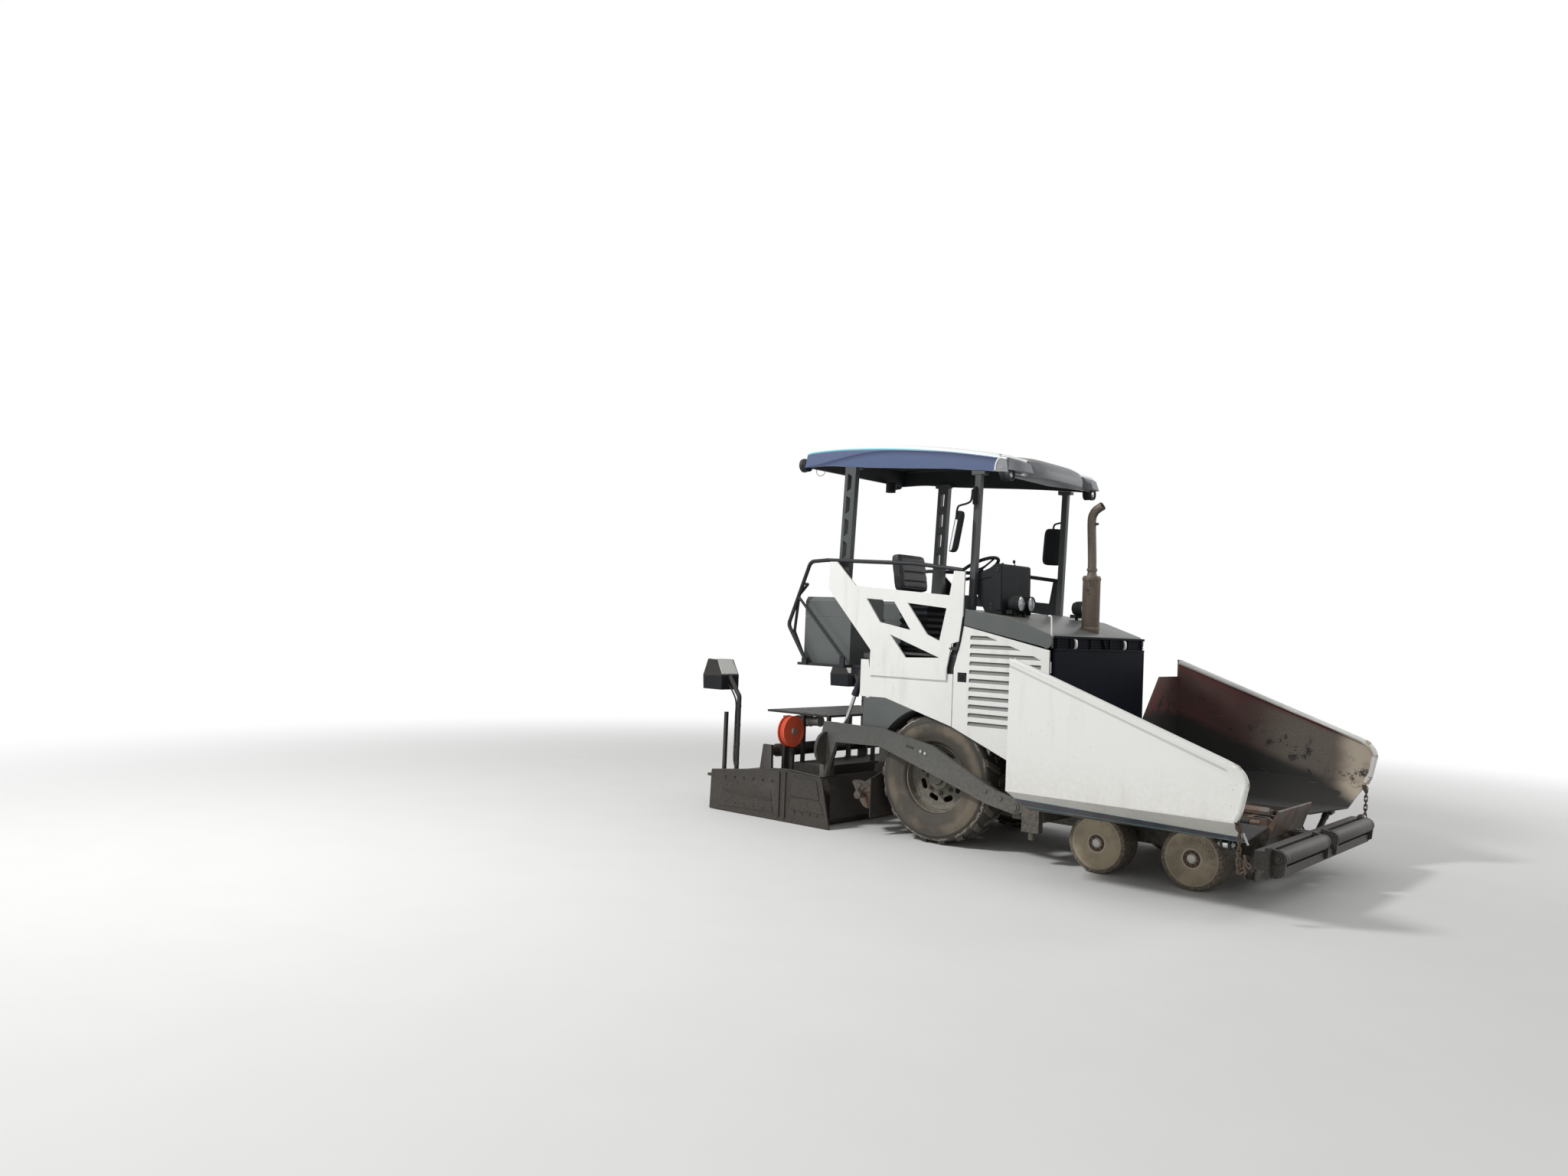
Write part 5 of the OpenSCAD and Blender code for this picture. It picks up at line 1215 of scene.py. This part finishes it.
for name, side in SIDES.items():
    body = "wing_" + name
    worn = dict(slot="worn_steel", body=body)
    rounded(body, wing_paint, "body_white", body, 0.002, 1)
    edge = [(x, RIM_Y, z) for x, z in mm("1137,1598 1400,1501.5 2300,1171.3 2700,1025 2766,996 2812,954 2833,900 "
                                         "2825,850 2798,725 2776,680 2770,662")]
    rim = Forms(side).tube(edge[:3] + smooth_path(edge[3:], 5), 0.0234, 20)
    rim.piece("wing_rim_" + name, white, "body_white", body=body)
    link = Forms().tube([(x, 0.0, z) for x, z in oval(0.017)], 0.0044, 8, closed=True)
    link = link.object("link", rusty, local=True)
    chain = repeated("wing_chain_" + name, link, rusty, 8, (2.786, side * CHAIN_Y, 0.61), (-0.0008, 0.0, -0.037),
                     (0, 0, 90), 0.08, 5)
    put(chain, body, "worn_steel")
    latch = Forms(side).prism(mm("2745,648 2786,650 2790,605 2774,585 2762,600"), "y", 1.5, 1.508)
    latch.rod((2.776, 1.48, 0.618), (2.776, 1.53, 0.618), 0.007)
    latch.piece("wing_latch_" + name, rusty, bevel=0.001, segments=1, **worn)
    pins = Forms(side)
    for x, way in ((2.543, -1), (2.617, 1)):
        pins.turned(mm("0,0 21,0 21,8 13,9 13,20 0,21"), (x, 1.15, 0.436), "x", 6, way)
    pins.piece("wing_ram_pin_" + name, cap_steel, bevel=0.001, segments=1, **worn)
    if side > 0:        # the loose end and the bar hang beside the right wing's chain alone
        continue
    loose = Forms()
    for k, (x, z, lean) in enumerate(mm("2800,338,900 2824,354,-200 2838,385,-900 2826,414,-300")):
        turned = Matrix.Rotation(lean, 4, "Y") @ Matrix.Rotation(math.radians(90 * (k % 2)), 4, "Z")
        ring = [Vector((x, side * CHAIN_Y, z)) + turned @ Vector((u, 0.0, v)) for u, v in oval(0.0165)]
        loose.tube(ring, 0.0042, 8, closed=True)
    loose.piece("wing_chain_end_" + name, rusty, **worn)
    bar = Forms(side).prism(mm("2800,580 2812,584 2846,510 2834,505"), "y", 1.49, 1.498)
    bar.piece("wing_chain_bar_" + name, polished, bevel=0.002, **worn)

# %% [markdown]
# ## Rollers and the push beam
# The rollers are smooth steel tubes, oily and streaked, with welded end plates. The bracket's bolt sits in
# a turned ring.

# %% Rollers and bracket bolts
ROLLER_X, ROLLER_Z = 2.9, 0.38
for name, side in SIDES.items():
    tube = Forms(side)
    tube.turned(mm("20,-463 52,-463 54.5,-460 55,-455 55,-430 54.4,-428 55,-426 55,418 54.4,420 55,422 55,455 "
                   "54.5,460 52,462 20,462"), (ROLLER_X, 0.5925, ROLLER_Z))
    tube.rod((ROLLER_X, 0.096, ROLLER_Z), (ROLLER_X, 1.0845, ROLLER_Z), 0.0198, 32)
    roller = "roller_" + name
    tube.piece("roller_tube_" + name, roller_steel, "worn_steel", roller, body=roller, sharp=35)
    caps = Forms(side)
    caps.turned(mm("0,0 50,0 50,6 42,8 40,3 34,3 32,9 0,9"), (ROLLER_X, 1.0855, ROLLER_Z), "y", 48)
    caps.turned(mm("0,0 19,0 19,12 17,14 0,14"), (ROLLER_X, 1.094, ROLLER_Z), "y", 6)
    caps.piece("roller_bolt_" + name, roller_steel, "worn_steel", body="push_beam", bevel=0.001, segments=1)

# %% [markdown]
# ## The screed
# The screed levels the mix. Its end gates carry guide bars and bolts, a bent tread plate makes the
# walkway, and each control box stands on a bent arm with its cable clipped along it.

# %% Walkway treads and screed fittings
bar = Forms().prism(mm("-16,0 16,0 10,2.5 -10,2.5"), "x", -0.0022, 0.0022)
tread = bar.object("tread_mark", screed_steel, local=True)
for k in range(6):
    treads = repeated(f"tread_row_{k}", tread, screed_steel, 34, (-1.93 + 0.125 * k, -0.68, 0.975), (0, 0.0412, 0),
                      (0, 0, 90), keep=True)
    put(treads, "screed", "screed_steel")
bpy.data.objects.remove(tread)

fittings = Forms().tube(mm("-1700,-610,884 -1420,-610,902"), 0.044, 28)
for t in (0.0, 0.42, 0.58, 1.0):
    x, z = -1.7 + 0.28 * t, 0.884 + 0.018 * t
    fittings.tube([(x - 0.008, -0.61, z), (x + 0.008, -0.61, z + 0.0005)], 0.052, 28)
for x in (-1.66, -1.46):
    fittings.box((x - 0.012, -0.625, 0.925), (x + 0.012, -0.595, 0.956))
fittings.piece("screed_cylinder", polished, "worn_steel", body="screed", bevel=0.001, segments=1)

# %% End gates and control boxes
for name, side in SIDES.items():
    body = "extension_" + name
    rounded(body, screed_steel, "screed_steel", body, 0.002, 1)
    bolt = nut(0.01, 0.008, side)
    for row, (x, z, step, rise, count) in enumerate(((-2.2, 0.328, 0.118, 0.006, 6), (-2.18, 0.095, 0.118, 0, 5),
                                                     (-1.33, 0.11, 0.09, 0, 4))):
        at = (x, side * 1.0505, z)
        bolts = repeated(f"gate_bolts_{row}_{name}", bolt, screed_steel, count, at, (step, 0, rise), keep=True)
        put(bolts, body, "screed_steel")
    bpy.data.objects.remove(bolt)
    top = smooth_path(mm("-2385,1042,372 -1900,1042,424 -1480,1042,474 -1200,1042,463 -1045,1042,450"), 5)
    Forms(side).tube(top, 0.009, 10).piece("gate_edge_" + name, screed_steel, "screed_steel", body=body)
    cover = Forms(side).prism(mm("-2492,1286 -2443,1444 -2332,1440.5 -2247,1296 -2300,1290"), "y", 0.875, 1.105)
    cover.piece("control_cover_" + name, white, "body_white", body=body, bevel=0.012, segments=3)
    desk = Forms(side).prism(mm("-2484,1153 -2487,1280 -2330,1290 -2247,1288 -2247,1153"), "y", 0.867, 1.113)
    desk.piece("control_desk_" + name, plastic, "black_plastic", body=body, bevel=0.01, segments=3)
    knobs = Forms(side)
    for k in range(5):
        knobs.turned(mm("0,0 9,0 8,12 0,14"), (-2.4853, 0.91 + 0.04 * k, 1.225), "x", 16, -1)
    knobs.piece("control_knobs_" + name, plastic, "black_plastic", body=body)
    route = mm("-2260,1012,1215 -2185,1012,1128 -2140,1012,1040 -2138,1012.5,900 -2138,1012.5,700 -2138,1012.5,500 "
               "-2110,1005,395")
    cable = Forms(side).tube(smooth_path(route, 6), 0.008, 10)
    for z in (1.0, 0.82, 0.64, 0.46):
        cable.turned(mm("21.5,-7 24.5,-7 24.5,7 21.5,7"), (-2.12, 0.99, z), "z", 24)
    cable.piece("control_cable_" + name, hose_rubber, "black_plastic", body=body)

# %% Turns of the hose on its reel
PITCH, WRAP_STEPS = 0.0145, 24
drum = Forms()
for shift, radius_of in ((0, 0.118), (0.004, 0.131)):
    for k in range(4):
        x = -1.572 + PITCH * k + shift
        turns = []
        for t in range(WRAP_STEPS + 1):
            a = math.tau * t / WRAP_STEPS
            y, z = -0.88 + radius_of * math.cos(a), 0.81 + radius_of * math.sin(a)
            turns.append((x + PITCH * t / WRAP_STEPS, y, z))
        drum.tube(turns, 0.0072, 8)
drum.piece("reel_hose", reel_orange, "reel_red", body="hose_reel")
hub = Forms().turned(mm("0,0 34,0 30,12 0,14"), (-1.512, -0.88, 0.81), "x", 24)
hub.piece("reel_hub", polished, "worn_steel", body="screed", bevel=0.001)

# %% [markdown]
# ## Tow arms
# A slot, a pair of bolts and the tow pin's head show on the outside of each arm.

# %% Tow arm fittings
for name, side in SIDES.items():
    slot = Forms(side).tube(mm("-225,913.5,812 -155,913.5,797"), 0.0105, 12)
    slot.piece("tow_arm_slot_" + name, hose_rubber, "frame_paint", body="screed")
    bolts, pin = Forms(side), Forms(side)
    for x, z in mm("-75,775 -30,762"):
        bolts.turned(mm("0,0 14,0 14,10 0,11"), (x, 0.915, z), "y", 6)
    bolts.piece("tow_arm_bolts_" + name, cap_steel, "frame_paint", body="screed", bevel=0.001, segments=1)
    for x, z in mm("560,520 700,480"):
        pin.turned(mm("0,0 17,0 17,10 0,11"), (x, 0.915, z), "y", 6)
    pin.turned(mm("0,0 48,0 48,8 32,10 32,20 0,21"), (0.826, 0.915, 0.429), "y", 40)
    pin.piece("tow_pin_" + name, arm_grey, "frame_paint", body="screed", bevel=0.001, segments=1)

# %% [markdown]
# ## The studio
# A pale floor runs out into a white background, so that the machine stands free. The world gives even
# light from all sides, and two large lamps add a soft direction: one high on the right and a little to the
# rear, so that the flanks are bright and the front faces dark, and a weaker one that draws the edges.

# %% Floor, world and lamps
FLOOR = 60
floor_mesh = bpy.data.meshes.new("floor")
corners = [(-FLOOR, -FLOOR, 0), (FLOOR, -FLOOR, 0), (FLOOR, FLOOR, 0), (-FLOOR, FLOOR, 0)]
floor_mesh.from_pydata(corners, [], [(0, 1, 2, 3)])
floor = link_in("floor", floor_mesh)
ground = Finish("floor", Roughness=0.9)
ground.set(Base_Color=ground.mix(ground.noise(2, 3), (0.8, 0.8, 0.79), (0.76, 0.76, 0.75)))
far = (ground.x * ground.x + ground.y * ground.y).ramp(16.0, 150.0)
rays = ground.node("ShaderNodeLightPath", {}, {}, "Is Camera Ray")
glow = ground.node("ShaderNodeEmission", {}, {"Color": (1, 1, 1, 1), "Strength": 1.0})
both = ground.node("ShaderNodeMixShader", {}, {0: far * rays, 2: glow})
ground.tree.links.new(ground.shader.outputs[0], both.socket.node.inputs[1])
ground.tree.links.new(both.socket, ground.tree.nodes["Material Output"].inputs[0])
floor_mesh.materials.append(ground.material)

world = bpy.data.worlds.new("studio")
bpy.context.scene.world = world
world.use_nodes = True
sky = world.node_tree
rays = sky.nodes.new("ShaderNodeLightPath").outputs


def larger(a, b):
    """The larger of two sockets of the world."""
    made = sky.nodes.new("ShaderNodeMath")
    made.operation = "MAXIMUM"
    sky.links.new(a, made.inputs[0])
    sky.links.new(b, made.inputs[1])
    return made.outputs[0]


seen = larger(rays["Is Camera Ray"], larger(rays["Is Glossy Ray"], rays["Is Transmission Ray"]))
strength = sky.nodes.new("ShaderNodeMapRange")
strength.inputs["To Min"].default_value = 0.42
strength.inputs["To Max"].default_value = 1.0
sky.links.new(seen, strength.inputs["Value"])
sky.links.new(strength.outputs[0], sky.nodes["Background"].inputs["Strength"])
sky.nodes["Background"].inputs["Color"].default_value = (1, 1, 1, 1)

for name, place_at, aim, size, power in (("key", (-4.6, -8.2, 8.6), (0, 0, 1.0), 2.0, 820),
                                         ("rim", (6.0, 7.5, 6.0), (0, 0, 1.5), 5.0, 200)):
    data = bpy.data.lights.new(name, "AREA")
    data.shape, data.size, data.energy = "DISK", size, power
    facing = (Vector(aim) - Vector(place_at)).to_track_quat("-Z", "Y").to_matrix().to_4x4()
    link_in(name, data).matrix_world = Matrix.Translation(place_at) @ facing

bpy.context.scene.view_settings.view_transform = "Standard"
